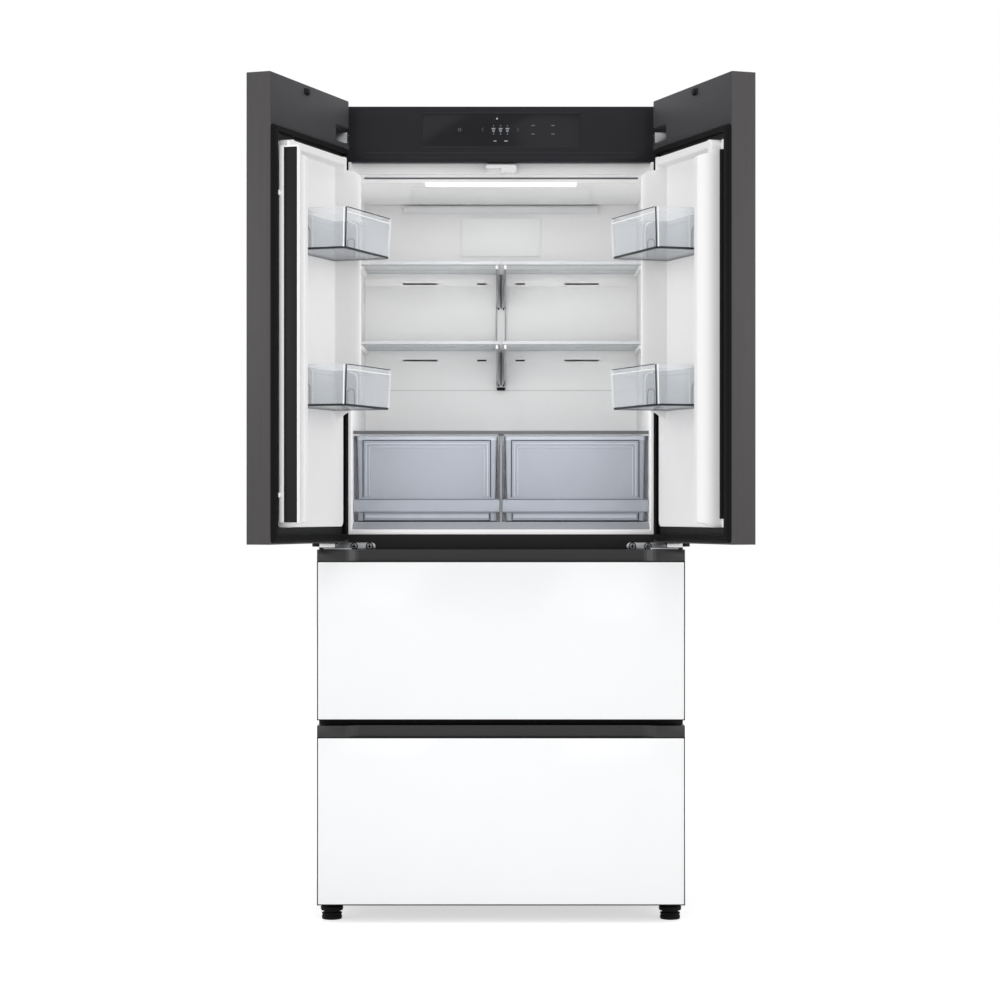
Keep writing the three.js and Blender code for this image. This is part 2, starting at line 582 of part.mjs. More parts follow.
function mullionGuide() {
  const top = OPENING_TOP - GUIDE_BELOW_OPENING_TOP;
  const bottom = top - GUIDE_HEIGHT;
  const rear = CEILING_STEP_DEPTH - FIT;
  const shape = roundedRect(-GUIDE_HALF, GUIDE_HALF, bottom, top, GUIDE_CORNER);
  const body = extrude(shape, 'y', GUIDE_FRONT, rear);
  const pivotX = -DOOR_CENTRE_GAP / 2 - MULLION_PIVOT.fromFreeEdge;
  const pivotY = -SEAL_GAP + MULLION_PIVOT.fromBack;
  const room = NUB.radius + NUB_GAP;
  const right = pivotX + NUB.y + room;
  const deep = pivotY + NUB.y + room;
  const channel = block(-GUIDE_HALF - 1, right, 0, deep, bottom - 1, bottom + NUB.height + 1);
  return cut(body, channel);
}

// ---- Hinges on the case -------------------------------------------------------------------
function upperHinge() {
  const bottom = NOTCH_BOTTOM + UPPER_HINGE.rise;
  const top = bottom + UPPER_HINGE.height;
  const centre = [-PIVOT_X, PIVOT_Y];
  const half = UPPER_HINGE.arm / 2;
  const inner = UPPER_HINGE.inner - CASE_HALF;
  const outer = UPPER_HINGE.outer - CASE_HALF;
  const past = UPPER_HINGE.overlap;
  const plate = block(outer, inner, -HINGE_PLATE - FIT, -FIT, bottom - past, top + past);
  const arm = block(inner - UPPER_HINGE.width, inner, PIVOT_Y - half, -HINGE_PLATE, bottom, top);
  const reach = block(-PIVOT_X, inner, PIVOT_Y - half, PIVOT_Y + half, bottom, top);
  const eye = rod('z', half, bottom, top, centre);
  const pinTop = NOTCH_TOP + DOOR_PIN_DEPTH - PIN_END_GAP;
  return join(plate, arm, reach, eye, rod('z', DOOR_PIN_RADIUS, bottom, pinTop, centre));
}

function lowerHinge() {
  const { corner, eye: eyeRadius } = LOWER_HINGE;
  const bottom = UPPER_FRONT_TOP - LOWER_HINGE.bottom;
  const shape = roundedRect(
    LOWER_HINGE.outer - CASE_HALF, LOWER_HINGE.inner - CASE_HALF, bottom, bottom + LOWER_HINGE.height, corner,
  );
  const plate = extrude(shape, 'y', -HINGE_PLATE - FIT, -FIT);
  const armBottom = UPPER_FRONT_TOP + LOWER_HINGE.armRise;
  const armTop = armBottom + LOWER_HINGE.arm;
  const right = -PIVOT_X - eyeRadius + LOWER_HINGE.armWidth;
  const arm = block(-PIVOT_X, right, PIVOT_Y - eyeRadius, -FIT, armBottom, armTop);
  const centre = [-PIVOT_X, PIVOT_Y];
  const eye = rod('z', eyeRadius, armBottom, armTop, centre);
  const pinTop = DOOR_BOTTOM + DOOR_PIN_DEPTH - PIN_END_GAP;
  const pin = rod('z', DOOR_PIN_RADIUS, armBottom, pinTop, centre);
  return join(plate, arm, eye, pin);
}

// ---- Doors --------------------------------------------------------------------------------
function alongDoor(fromSide) {
  return fromSide - PIVOT_INSET;
}

function fromBack(depth) {
  return PIVOT_DEPTH + depth;
}

function doorFrame() {
  const side = alongDoor(0);
  const free = alongDoor(DOOR_WIDTH);
  const front = fromBack(-FRONT_THICKNESS);
  const back = fromBack(0);
  const plan = roundedRect(side, free, front, back, DOOR_EDGE_RADIUS);
  const pocket = block(
    side + RIM, free - RIM, front - 1, front + GLASS, DOOR_BOTTOM + RIM, DOOR_TOP - RIM,
  );
  const notch = block(
    side - 1, side + NOTCH.width, front + GLASS - 1, back + 1, NOTCH_BOTTOM, NOTCH_TOP,
  );
  const bore = DOOR_PIN_RADIUS + PIN_FIT;
  const upperBore = rod('z', bore, NOTCH_TOP - 1, NOTCH_TOP + DOOR_PIN_DEPTH, [0, 0]);
  const lowerBore = rod('z', bore, DOOR_BOTTOM - 1, DOOR_BOTTOM + DOOR_PIN_DEPTH, [0, 0]);
  return cut(extrude(plan, 'z', DOOR_BOTTOM, DOOR_TOP), pocket, notch, upperBore, lowerBore);
}

function doorGlass() {
  const edge = RIM + FIT;
  const front = fromBack(-FRONT_THICKNESS);
  const shape = roundedRect(
    alongDoor(edge), alongDoor(DOOR_WIDTH - edge), DOOR_BOTTOM + edge, DOOR_TOP - edge, GLASS_CORNER,
  );
  return extrude(shape, 'y', front, front + GLASS - FIT);
}

function ringOutline(x0, x1, z0, z1, width, radius) {
  const ring = roundedRect(x0, x1, z0, z1, radius);
  ring.holes.push(roundedRect(x0 + width, x1 - width, z0 + width, z1 - width, radius / 2));
  return ring;
}

function doorSeal() {
  const ring = ringOutline(
    alongDoor(SEAL_FROM_SIDE), alongDoor(DOOR_WIDTH - SEAL_FROM_FREE_EDGE - FIT),
    DOOR_BOTTOM + SEAL_ABOVE_BOTTOM, DOOR_TOP - SEAL_BELOW_TOP, SEAL_WIDTH, SEAL_CORNER,
  );
  return extrude(ring, 'y', fromBack(FIT), fromBack(SEAL_GAP - FIT));
}

// The raised ridge: down the free edge, across the top and part of the way down the hinge side.
function ridgeOutline() {
  const side = alongDoor(RIDGE.side);
  const free = alongDoor(DOOR_WIDTH - DOOR_LINER.free);
  const top = DOOR_TOP - DOOR_LINER.top;
  const bottom = DOOR_BOTTOM + DOOR_LINER.bottom;
  const end = DOOR_BOTTOM + RIDGE.end;
  const half = RIDGE.sideWidth / 2;
  const corner = DOOR_LINER.corner;
  const quarter = Math.PI / 2;
  return new THREE.Shape()
    .moveTo(free, bottom)
    .absarc(free - corner, top - corner, corner, 0, quarter)
    .absarc(side + corner, top - corner, corner, quarter, 2 * quarter)
    .absarc(side + half, end + half, half, 2 * quarter, 4 * quarter)
    .lineTo(side + RIDGE.sideWidth, top - RIDGE.topWidth)
    .lineTo(free - RIDGE.freeWidth, top - RIDGE.topWidth)
    .lineTo(free - RIDGE.freeWidth, bottom);
}

// What the ridge loses at its top, to close under the ceiling, and at its foot, over the riser.
function ridgeBevels() {
  const high = fromBack(RIDGE.height + 1);
  const low = fromBack(RIDGE_BEVEL.height);
  const top = outline([
    [high, CEILING - RIDGE_BEVEL.start], [high, OPENING_TOP],
    [low, OPENING_TOP], [low, CEILING + RIDGE_BEVEL.end],
  ]);
  const footLow = fromBack(RIDGE_FOOT_BEVEL.height);
  const above = FLOOR + RIDGE_FOOT_BEVEL.above;
  const foot = outline([
    [high, above], [fromBack(RIDGE_FOOT_BEVEL.end), above],
    [footLow, LIP_TOP + RIDGE_FOOT_BEVEL.lipGap], [footLow, DOOR_BOTTOM], [high, DOOR_BOTTOM],
  ]);
  return [top, foot].map((profile) => extrude(profile, 'x', 0, DOOR_WIDTH));
}

function binSpan() {
  const x0 = alongDoor(RIDGE.side + RIDGE.sideWidth + BIN.gap);
  return [x0, x0 + BIN.length];
}

function binLugs(level) {
  const [x0, x1] = binSpan();
  const z0 = DOOR_BOTTOM + level + BIN_LUG.rise;
  const z1 = z0 + BIN_LUG.height;
  const free = alongDoor(DOOR_WIDTH - DOOR_LINER.free - RIDGE.freeWidth);
  const lug = (left, right) => block(left, right, fromBack(BIN_LUG.from), fromBack(BIN_LUG.to), z0, z1);
  return [lug(x0 - BIN.gap - 1, x0 - FIT), lug(x1 + FIT, free + 1)];
}

function doorLiner() {
  const side = alongDoor(DOOR_LINER.side);
  const free = alongDoor(DOOR_WIDTH - DOOR_LINER.free);
  const shape = roundedRect(
    side, free, DOOR_BOTTOM + DOOR_LINER.bottom, DOOR_TOP - DOOR_LINER.top, DOOR_LINER.corner,
  );
  const plate = extrude(shape, 'y', fromBack(FIT), fromBack(DOOR_LINER.thickness));
  const ridge = cut(extrude(ridgeOutline(), 'y', fromBack(FIT), fromBack(RIDGE.height)), ...ridgeBevels());
  return join(plate, ridge, ...Object.values(BIN_LEVELS).flatMap(binLugs));
}

function bin(level) {
  const [x0, x1] = binSpan();
  const y0 = fromBack(DOOR_LINER.thickness + FIT);
  const y1 = fromBack(BIN.reach);
  const z0 = DOOR_BOTTOM + level;
  const wall = BIN_WALL;
  const outer = extrude(roundedRect(x0, x1, y0, y1, BIN.corner), 'z', z0, z0 + BIN.height);
  const inner = roundedRect(x0 + wall, x1 - wall, y0 + wall, y1 - wall, BIN.corner - wall);
  return cut(outer, extrude(inner, 'z', z0 + wall, z0 + BIN.height + 1));
}

// ---- Folding mullion ------------------------------------------------------------------------
const MULLION_X = DOOR_WIDTH - MULLION_PIVOT.fromFreeEdge - PIVOT_INSET;
const MULLION_Y = PIVOT_DEPTH + MULLION_PIVOT.fromBack;

function mullionPin(radius, bottom, top) {
  return rod('z', radius, bottom, top, [MULLION_X, MULLION_Y], 8);
}

function mullionArms() {
  return MULLION_ARMS.flatMap((level) => {
    const top = DOOR_BOTTOM + level;
    const bottom = top - MULLION_ARM.height;
    const left = alongDoor(DOOR_WIDTH - DOOR_LINER.free) - MULLION_ARM.root;
    const right = MULLION_X + MULLION_ARM.reach;
    return [
      block(left, right, fromBack(FIT), MULLION_Y - MULLION_ARM.drop, bottom, top),
      mullionPin(MULLION_ARM.eye, bottom, top),
      mullionPin(MULLION_PIN, bottom, top + MULLION_BOSS.height),
    ];
  });
}

function leftDoorLiner() {
  const left = MULLION_X - MULLION.thickness - MULLION.offset - 1;
  const right = MULLION_X + MULLION.offset;
  const relief = MULLION_ARMS.map((level) => {
    const top = DOOR_BOTTOM + level;
    const bottom = top - MULLION_ARM.height;
    return block(left, right + 1, MULLION_Y + MULLION.gap, fromBack(RIDGE.height), bottom - 1, top + 1);
  });
  return join(doorLiner(), cut(join(...mullionArms()), ...relief));
}

// Built folded, about its own hinge axis.
function mullion() {
  const bottom = DOOR_BOTTOM + MULLION.bottomInset;
  const top = OPENING_TOP - MULLION.topInset;
  const x1 = -MULLION.offset;
  const bar = block(
    x1 - MULLION.thickness, x1, MULLION.gap, MULLION.gap + MULLION.width, bottom, top,
  );
  const nub = rod('z', NUB.radius, top - 1, top + NUB.height, [NUB.x, NUB.y]);
  const { radius, height } = MULLION_BOSS;
  const atArms = (size, from, to) => MULLION_ARMS.map((level) => (
    rod('z', size, DOOR_BOTTOM + level + from, DOOR_BOTTOM + level + to, [0, 0], 8)
  ));
  const clearances = atArms(radius, -MULLION_ARM.height - FIT, FIT);
  const bosses = atArms(radius, FIT, height);
  const bores = atArms(MULLION_PIN + FIT, 0, height + 1);
  return cut(join(cut(bar, ...clearances), nub, ...bosses), ...bores);
}

// ---- Drawers ------------------------------------------------------------------------------
const DRAWERS = {
  upper: drawerLevels(UPPER_FRONT_BOTTOM, UPPER_FRONT_TOP, DRAWER_SILL, UPPER_CAVITY_DEPTH),
  lower: drawerLevels(FOOT_HEIGHT, LOWER_FRONT_TOP, LOWER_SILL, LOWER_CAVITY_DEPTH),
};

function drawerLevels(bottom, top, sill, depth) {
  return { bottom, top, depth, cavityBottom: bottom + sill.below, cavityTop: top - sill.above };
}

// The plan of the finger pull: flush at its ends, set back between them by two S curves.
function pullOutline() {
  const outer = CASE_HALF - PULL.inset;
  const inner = outer - PULL.blend;
  const deep = FRONT_FACE + PULL.depth;
  const middle = (outer + inner) / 2;
  return new THREE.Shape()
    .moveTo(-outer, FRONT_FACE)
    .bezierCurveTo(-middle, FRONT_FACE, -middle, deep, -inner, deep)
    .lineTo(inner, deep)
    .bezierCurveTo(middle, deep, middle, FRONT_FACE, outer, FRONT_FACE)
    .lineTo(outer, FRONT_FACE - 1)
    .lineTo(-outer, FRONT_FACE - 1);
}

function drawerFront(drawer) {
  const plan = roundedRect(-CASE_HALF, CASE_HALF, FRONT_FACE, -SEAL_GAP, DOOR_EDGE_RADIUS);
  const body = extrude(plan, 'z', drawer.bottom, drawer.top);
  const pull = extrude(pullOutline(), 'z', drawer.top - PULL.height, drawer.top + 1, PULL.segments);
  const pocketTop = drawer.top - PULL.height - PULL.line;
  const half = CASE_HALF - RIM;
  const pocket = block(-half, half, FRONT_FACE - 1, FRONT_FACE + GLASS, drawer.bottom + RIM, pocketTop);
  return cut(body, pull, pocket);
}

function drawerGlass(drawer) {
  const edge = RIM + FIT;
  const top = drawer.top - PULL.height - PULL.line - FIT;
  const shape = roundedRect(-CASE_HALF + edge, CASE_HALF - edge, drawer.bottom + edge, top, GLASS_CORNER);
  return extrude(shape, 'y', FRONT_FACE, FRONT_FACE + GLASS - FIT);
}

function railLevel(drawer) {
  return (drawer.cavityBottom + drawer.cavityTop) / 2;
}

// Two fixed rails tied by a cross bar behind the tub.
function drawerRails(drawer) {
  const outer = DRAWER_OPENING_HALF - FIT;
  const inner = outer - RAIL.width;
  const rear = drawer.depth - RAIL.rear;
  const z0 = railLevel(drawer) - RAIL.height / 2;
  const z1 = z0 + RAIL.height;
  return join(
    block(-outer, -inner, RAIL.front, rear, z0, z1),
    block(inner, outer, RAIL.front, rear, z0, z1),
    block(-outer, outer, rear - RAIL.bar, rear, z0, z1),
  );
}

function tub(drawer) {
  const half = DRAWER_OPENING_HALF - RAIL.width - TUB_SIDE_GAP;
  const front = -SEAL_GAP + FIT;
  const rear = drawer.depth - TUB_REAR_GAP;
  const bottom = drawer.cavityBottom + TUB_FLOOR_GAP;
  const top = drawer.cavityTop - TUB_TOP_GAP;
  const wall = TRAY_WALL;
  const body = block(-half, half, front, rear, bottom, top);
  const inside = block(-half + wall, half - wall, front + wall, rear - wall, bottom + wall, top + 1);
  const runnerBottom = railLevel(drawer) + RAIL.height / 2 + FIT;
  const runner = (x0, x1) => block(x0, x1, RAIL.front, rear, runnerBottom, runnerBottom + RUNNER_HEIGHT);
  const reach = DRAWER_OPENING_HALF - TUB_SIDE_GAP;
  return cut(join(body, runner(-reach, -half + 1), runner(half - 1, reach)), inside);
}

// ---- Machinery ----------------------------------------------------------------------------
// Fins across the box, threaded by straight tubes along x, between two end plates.
function finnedCoil(coil, [x0, x1], [y0, y1], [z0, z1], [plateFront, plateRear]) {
  const pitch = (x1 - x0) / (coil.fins - 1);
  const fins = [];
  for (let i = 1; i < coil.fins - 1; i += 1) {
    const left = x0 + i * pitch - COIL.fin / 2;
    fins.push(block(left, left + COIL.fin, y0, y1, z0, z1));
  }
  const tubes = [];
  for (let i = 0; i < coil.tubes; i += 1) {
    const z = z0 + ((i + 0.5) * (z1 - z0)) / coil.tubes;
    tubes.push(rod('x', COIL.tube, x0 - COIL.overhang, x1 + COIL.overhang, [(y0 + y1) / 2, z], 6));
  }
  const half = COIL.plate / 2;
  const plates = [x0, x1].map((x) => block(x - half, x + half, plateFront, plateRear, z0, z1));
  return join(...plates, ...tubes, ...fins);
}

function evaporator() {
  const { half, front, depth, bottom, height } = EVAPORATOR;
  const z0 = FLOOR + bottom;
  const plateFront = DUCT_COVER_FRONT + DUCT_COVER_THICKNESS + FIT;
  return finnedCoil(
    EVAPORATOR, [-half, half], [front, front + depth], [z0, z0 + height], [plateFront, LINER_DEPTH - FIT],
  );
}

// A rotor about the x or y axis through the origin, starting at 0 along it.
function rotor(axis, fan) {
  const length = fan.depth;
  const hub = rod(axis, fan.hub, 0, length, [0, 0]);
  const chord = (length * FAN_BLADE.share) / 2;
  const half = FAN_BLADE.thickness / 2;
  const blades = [];
  for (let i = 0; i < fan.blades; i += 1) {
    const blade = block(-half, half, -chord, chord, fan.hub - FAN_BLADE.thickness, fan.radius);
    blade.rotateZ(FAN_BLADE.pitch);
    blade.rotateY((2 * Math.PI * i) / fan.blades);
    blade.translate(0, length / 2, 0);
    if (axis === 'x') blade.rotateZ(-Math.PI / 2);
    blades.push(blade);
  }
  const bore = rod(axis, MOTOR.shaft + FIT, -1, length + 1, [0, 0], 8);
  return cut(join(hub, ...blades), bore);
}

function evaporatorFanMotor() {
  const { half, halfHeight, bite } = MOTOR_BRACKET;
  const z = FLOOR + EVAPORATOR_FAN.z;
  const bodyFront = EVAPORATOR_FAN.front + EVAPORATOR_FAN.depth + MOTOR.gap;
  const bodyRear = bodyFront + MOTOR.length;
  return join(
    rod('y', MOTOR.shaft, EVAPORATOR_FAN.front + MOTOR.grip, bodyFront + MOTOR.seat, [0, z], 8),
    rod('y', MOTOR.radius, bodyFront, bodyRear, [0, z]),
    block(-half, half, bodyRear - bite, LINER_DEPTH - FIT, z - halfHeight, z + halfHeight),
  );
}

function compressor() {
  const { radius, height, foot, stub } = COMPRESSOR;
  const { half, halfDepth, thickness, pad, padInset } = COMPRESSOR_PLATE;
  const wide = radius / DOME_PROFILE[3][0];
  const profile = DOME_PROFILE.map(([r, z]) => new THREE.Vector2(r * wide, z * height));
  const dome = new THREE.LatheGeometry(
    [new THREE.Vector2(0, 0), ...profile, new THREE.Vector2(0, height)], 24,
  );
  dome.rotateX(Math.PI / 2).translate(0, 0, foot + thickness / 2);
  const plate = block(-half, half, -halfDepth, halfDepth, foot, foot + thickness);
  const pads = [-1, 1].flatMap((sx) => [-1, 1].map((sy) => (
    rod('z', pad, 0, foot + 1, [sx * (half - padInset), sy * (halfDepth - padInset)], 12)
  )));
  const pipe = rod('z', stub, foot + height / 2, foot + height + thickness, [radius / 2, 0], 8);
  return join(dome, plate, pipe, ...pads).translate(COMPRESSOR.x, COMPRESSOR.y, BASE_TOP + FIT);
}

function condenser() {
  const { left, right, front, rear, height, inset } = CONDENSER;
  const z0 = BASE_TOP + FIT;
  return finnedCoil(
    CONDENSER, [left, right], [front + inset, rear - inset], [z0, z0 + height], [front, rear],
  );
}

function condenserFanCentre() {
  return [(CONDENSER.front + CONDENSER.rear) / 2, BASE_TOP + FIT + CONDENSER_FAN.z];
}

// The shroud plate around the rotor, and the strut behind it that carries the motor.
function condenserFanMotor() {
  const [y, z] = condenserFanCentre();
  const { half, thickness, gap, strut, strutHalf } = SHROUD;
  const rotorLeft = CONDENSER_FAN.x - CONDENSER_FAN.depth / 2;
  const right = rotorLeft + CONDENSER_FAN.depth;
  const bodyRight = rotorLeft - MOTOR.gap;
  const left = bodyRight - MOTOR.length;
  const plate = cut(
    block(right - thickness, right, y - half, y + half, BASE_TOP + FIT, z + half),
    rod('x', CONDENSER_FAN.radius + gap, right - thickness - 1, right + 1, [y, z], 24),
  );
  const legs = [-1, 1].map((side) => {
    const middle = y + side * (half - strut / 2);
    return block(left, right - 1, middle - strut / 2, middle + strut / 2, z - strutHalf, z + strutHalf);
  });
  return join(
    plate, ...legs,
    block(left, left + strut, y - half, y + half, z - strutHalf, z + strutHalf),
    rod('x', MOTOR.radius, left, bodyRight, [y, z]),
    rod('x', MOTOR.shaft, bodyRight - MOTOR.seat, right - MOTOR.grip, [y, z], 8),
  );
}

function dripTray() {
  const { left, right, front, rear, height, wall, corner } = DRIP_TRAY;
  const z0 = BASE_TOP + FIT;
  const outer = roundedRect(left, right, front, rear, corner);
  const inner = roundedRect(left + wall, right - wall, front + wall, rear - wall, corner - wall);
  return cut(extrude(outer, 'z', z0, z0 + height), extrude(inner, 'z', z0 + wall, z0 + height + 1));
}

function machineRoomCover() {
  const bottom = BASE_TOP + FIT;
  const top = MACHINE_TOP - FIT;
  const sheet = block(-INNER_HALF, INNER_HALF, BACK_INNER, BACK_OUTER, bottom, top);
  const middle = (bottom + top) / 2;
  const slots = COVER_SLOTS.centres.flatMap((x) => Array.from({ length: COVER_SLOTS.count }, (_, i) => {
    const z = middle + (i - (COVER_SLOTS.count - 1) / 2) * COVER_SLOTS.pitch;
    const half = COVER_SLOTS.length / 2;
    return block(x - half, x + half, 0, CASE_DEPTH, z - COVER_SLOTS.height / 2, z + COVER_SLOTS.height / 2);
  }));
  const cordHole = rod('y', INLET.neck + FIT, 0, CASE_DEPTH, [INLET.x, FOOT_HEIGHT + INLET.height]);
  return cut(sheet, ...slots, cordHole);
}

function powerInlet() {
  const centre = [INLET.x, FOOT_HEIGHT + INLET.height];
  const face = BACK_OUTER + FIT;
  const flange = rod('y', INLET.radius, face, face + INLET.flange, centre);
  const neck = rod('y', INLET.neck, BACK_INNER - INLET.inside, CASE_DEPTH, centre);
  return cut(join(flange, neck), rod('y', INLET.bore, 0, CASE_DEPTH + 1, centre, 12));
}

function foot() {
  const { disc, discHeight, body, stem, stemTop, stemGap } = FOOT;
  return join(
    rod('z', disc, 0, discHeight, [0, 0], 20),
    rod('z', body, discHeight - 0.5, FOOT_HEIGHT - FIT, [0, 0], 20),
    rod('z', stem, FOOT_HEIGHT - 1, FOOT_HEIGHT + stemTop - stemGap, [0, 0], 12),
  );
}

function roller() {
  const half = ROLLER.width / 2;
  const centre = [0, 0];
  return cut(
    rod('x', ROLLER.radius, -half, half, centre, 24),
    rod('x', ROLLER.axle + FIT, -half - 1, half + 1, centre),
  );
}

// ---- Assembly -----------------------------------------------------------------------------
function addCase() {
  piece('outer_case', outerCase(), DARK_STEEL);
  piece('back_panel', backPanel(), BRIGHT_STEEL);
  piece('base_frame', baseFrame(), BLACK_STEEL);
  piece('insulation_foam', foam(), FOAM);
  piece('front_frame', frontFrame(), DARK_STEEL);
  piece('control_panel_housing', panelHousing(), DARK_PLASTIC);
  piece('display_glass', displayGlass(), { ...DARK_PLASTIC, roughness: 0.1 });
  piece('control_board', controlBoard(), { color: 0x1f5b3a, roughness: 0.6, metalness: 0 });
  piece('upper_liner', upperLiner(), WHITE_PLASTIC);
  piece('upper_drawer_liner', drawerLiner(DRAWERS.upper), WHITE_PLASTIC);
  piece('lower_drawer_liner', drawerLiner(DRAWERS.lower), WHITE_PLASTIC);
}

function addCompartment() {
  piece('duct_cover', ductCover(), WHITE_PLASTIC);
  piece('shelf_rail', shelfRail(), BRIGHT_STEEL);
  for (const [name, level] of Object.entries(SHELF_LEVELS)) {
    piece(`${name}_shelf_right`, shelf(level), CLEAR_PLASTIC);
    piece(`${name}_shelf_left`, mirrored(shelf(level)), CLEAR_PLASTIC);
  }
  piece('crisper_cover', crisperCover(), CLEAR_PLASTIC);
  piece('right_crisper', crisper(), CLEAR_PLASTIC);
  piece('left_crisper', mirrored(crisper()), CLEAR_PLASTIC);
  piece('mullion_guide', mullionGuide(), WHITE_PLASTIC);
}

function addHinges() {
  piece('left_upper_hinge', upperHinge(), BRIGHT_STEEL);
  piece('right_upper_hinge', mirrored(upperHinge()), BRIGHT_STEEL);
  piece('left_lower_hinge', lowerHinge(), BRIGHT_STEEL);
  piece('right_lower_hinge', mirrored(lowerHinge()), BRIGHT_STEEL);
}

function doorGroup(side) {
  const group = new THREE.Group();
  group.position.set(side * PIVOT_X, PIVOT_Y, 0);
  group.rotation.z = side * THREE.MathUtils.degToRad(DOOR_OPEN_ANGLE);
  fridge.add(group);
  return group;
}

function addDoor(name, side, linerGeometry) {
  const group = doorGroup(side);
  const facing = (geometry) => (side > 0 ? mirrored(geometry) : geometry);
  piece(`${name}_door_frame`, facing(doorFrame()), DARK_STEEL, group);
  piece(`${name}_door_glass`, facing(doorGlass()), WHITE_GLASS, group);
  piece(`${name}_door_liner`, facing(linerGeometry), WHITE_PLASTIC, group);
  piece(`${name}_door_seal`, facing(doorSeal()), BLACK_RUBBER, group);
  for (const [position, level] of Object.entries(BIN_LEVELS)) {
    piece(`${name}_door_${position}_bin`, facing(bin(level)), CLEAR_PLASTIC, group);
  }
  return group;
}

function addDoors() {
  const leftDoor = addDoor('left', -1, leftDoorLiner());
  addDoor('right', 1, doorLiner());
  const bar = piece('mullion', mullion(), WHITE_PLASTIC, leftDoor);
  bar.position.set(MULLION_X, MULLION_Y, 0);
}

function addDrawers() {
  for (const [name, drawer] of Object.entries(DRAWERS)) {
    piece(`${name}_drawer_front`, drawerFront(drawer), DARK_STEEL);
    piece(`${name}_drawer_glass`, drawerGlass(drawer), WHITE_GLASS);
    piece(`${name}_drawer_tub`, tub(drawer), GREY_PLASTIC);
    piece(`${name}_drawer_rails`, drawerRails(drawer), BRIGHT_STEEL);
  }
}

function addMachinery() {
  piece('evaporator', evaporator(), ALUMINIUM);
  piece('evaporator_fan_motor', evaporatorFanMotor(), BLACK_STEEL);
  const coldFan = piece('evaporator_fan', rotor('y', EVAPORATOR_FAN), WHITE_PLASTIC);
  coldFan.position.set(0, EVAPORATOR_FAN.front, FLOOR + EVAPORATOR_FAN.z);
  piece('compressor', compressor(), BLACK_STEEL);
  piece('condenser', condenser(), ALUMINIUM);
  piece('condenser_fan_motor', condenserFanMotor(), BLACK_STEEL);
  const warmFan = piece('condenser_fan', rotor('x', CONDENSER_FAN), DARK_PLASTIC);
  warmFan.position.set(CONDENSER_FAN.x - CONDENSER_FAN.depth / 2, ...condenserFanCentre());
  piece('drip_tray', dripTray(), DARK_PLASTIC);
  piece('machine_room_cover', machineRoomCover(), BRIGHT_STEEL);
  piece('power_inlet', powerInlet(), DARK_PLASTIC);
}

function addSupports() {
  for (const [name, side] of [['left', -1], ['right', 1]]) {
    piece(`${name}_foot`, foot(), BLACK_RUBBER).position.set(side * FOOT_X, FOOT.y, 0);
    piece(`${name}_roller`, roller(), DARK_PLASTIC).position.set(side * ROLLER_X, ROLLER.y, ROLLER.radius);
  }
}

addCase();
addCompartment();
addHinges();
addDoors();
addDrawers();
addMachinery();
addSupports();

// The origin is on the floor, at the middle of the box that holds everything with the doors open.
const extent = new THREE.Box3().setFromObject(fridge, true);
fridge.position.y = -(extent.min.y + extent.max.y) / 2;

export default fridge;
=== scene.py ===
"""Kimchi refrigerator: visual model on its CAD frame. Lengths below are millimetres unless said."""

import math

import bmesh
import bpy
from mathutils import Matrix, Vector


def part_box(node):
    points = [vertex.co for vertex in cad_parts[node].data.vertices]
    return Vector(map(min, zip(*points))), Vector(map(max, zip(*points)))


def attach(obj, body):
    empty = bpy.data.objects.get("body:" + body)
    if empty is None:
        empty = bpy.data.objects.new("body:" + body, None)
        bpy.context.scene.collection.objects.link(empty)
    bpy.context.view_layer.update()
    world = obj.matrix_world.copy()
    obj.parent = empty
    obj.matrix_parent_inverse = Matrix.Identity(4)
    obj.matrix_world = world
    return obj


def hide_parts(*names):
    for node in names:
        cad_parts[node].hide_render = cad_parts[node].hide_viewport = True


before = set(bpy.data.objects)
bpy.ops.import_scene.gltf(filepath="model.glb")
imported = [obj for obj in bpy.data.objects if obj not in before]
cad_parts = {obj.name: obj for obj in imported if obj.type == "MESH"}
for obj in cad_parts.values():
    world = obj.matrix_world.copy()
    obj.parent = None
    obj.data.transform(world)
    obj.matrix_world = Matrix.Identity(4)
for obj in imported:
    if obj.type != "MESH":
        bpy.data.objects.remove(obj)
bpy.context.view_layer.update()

# ---- Spaces -----------------------------------------------------------------------------------
MM = 0.001
CASE_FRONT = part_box("outer_case")[0][1]  # metres, in the row's frame
CASE = Matrix.Translation((0, CASE_FRONT, 0)) @ Matrix.Scale(MM, 4)
HINGE = (394, -56)  # hinge axis from the case's centre and front plane
OPENING_ANGLE = math.radians(110)
DOOR = CASE @ Matrix.Translation((-HINGE[0], HINGE[1], 0)) @ Matrix.Rotation(-OPENING_ANGLE, 4, "Z")
MIRROR = Matrix.Scale(-1, 4, (1, 0, 0))
DOOR_BACK = 44  # the door's back face in its own space
DOOR_SIDE = 22  # hinge axis from the door's outer side
SIDES = (("left", False), ("right", True))  # name, and whether the left piece is mirrored
LEVELS = ("upper", "lower")


def span(node):
    """A CAD node's extent in case millimetres: x0, x1, y0, y1, z0, z1."""
    low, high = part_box(node)
    x0, y0, z0 = low / MM
    x1, y1, z1 = high / MM
    shift = CASE_FRONT / MM
    return x0, x1, y0 - shift, y1 - shift, z0, z1


# ---- Colours and materials --------------------------------------------------------------------
def linear(colour):
    """Linear RGBA from 0 to 255 sRGB."""
    parts = [value / 255 for value in colour]
    return [p / 12.92 if p <= 0.04045 else ((p + 0.055) / 1.055) ** 2.4 for p in parts] + [1]


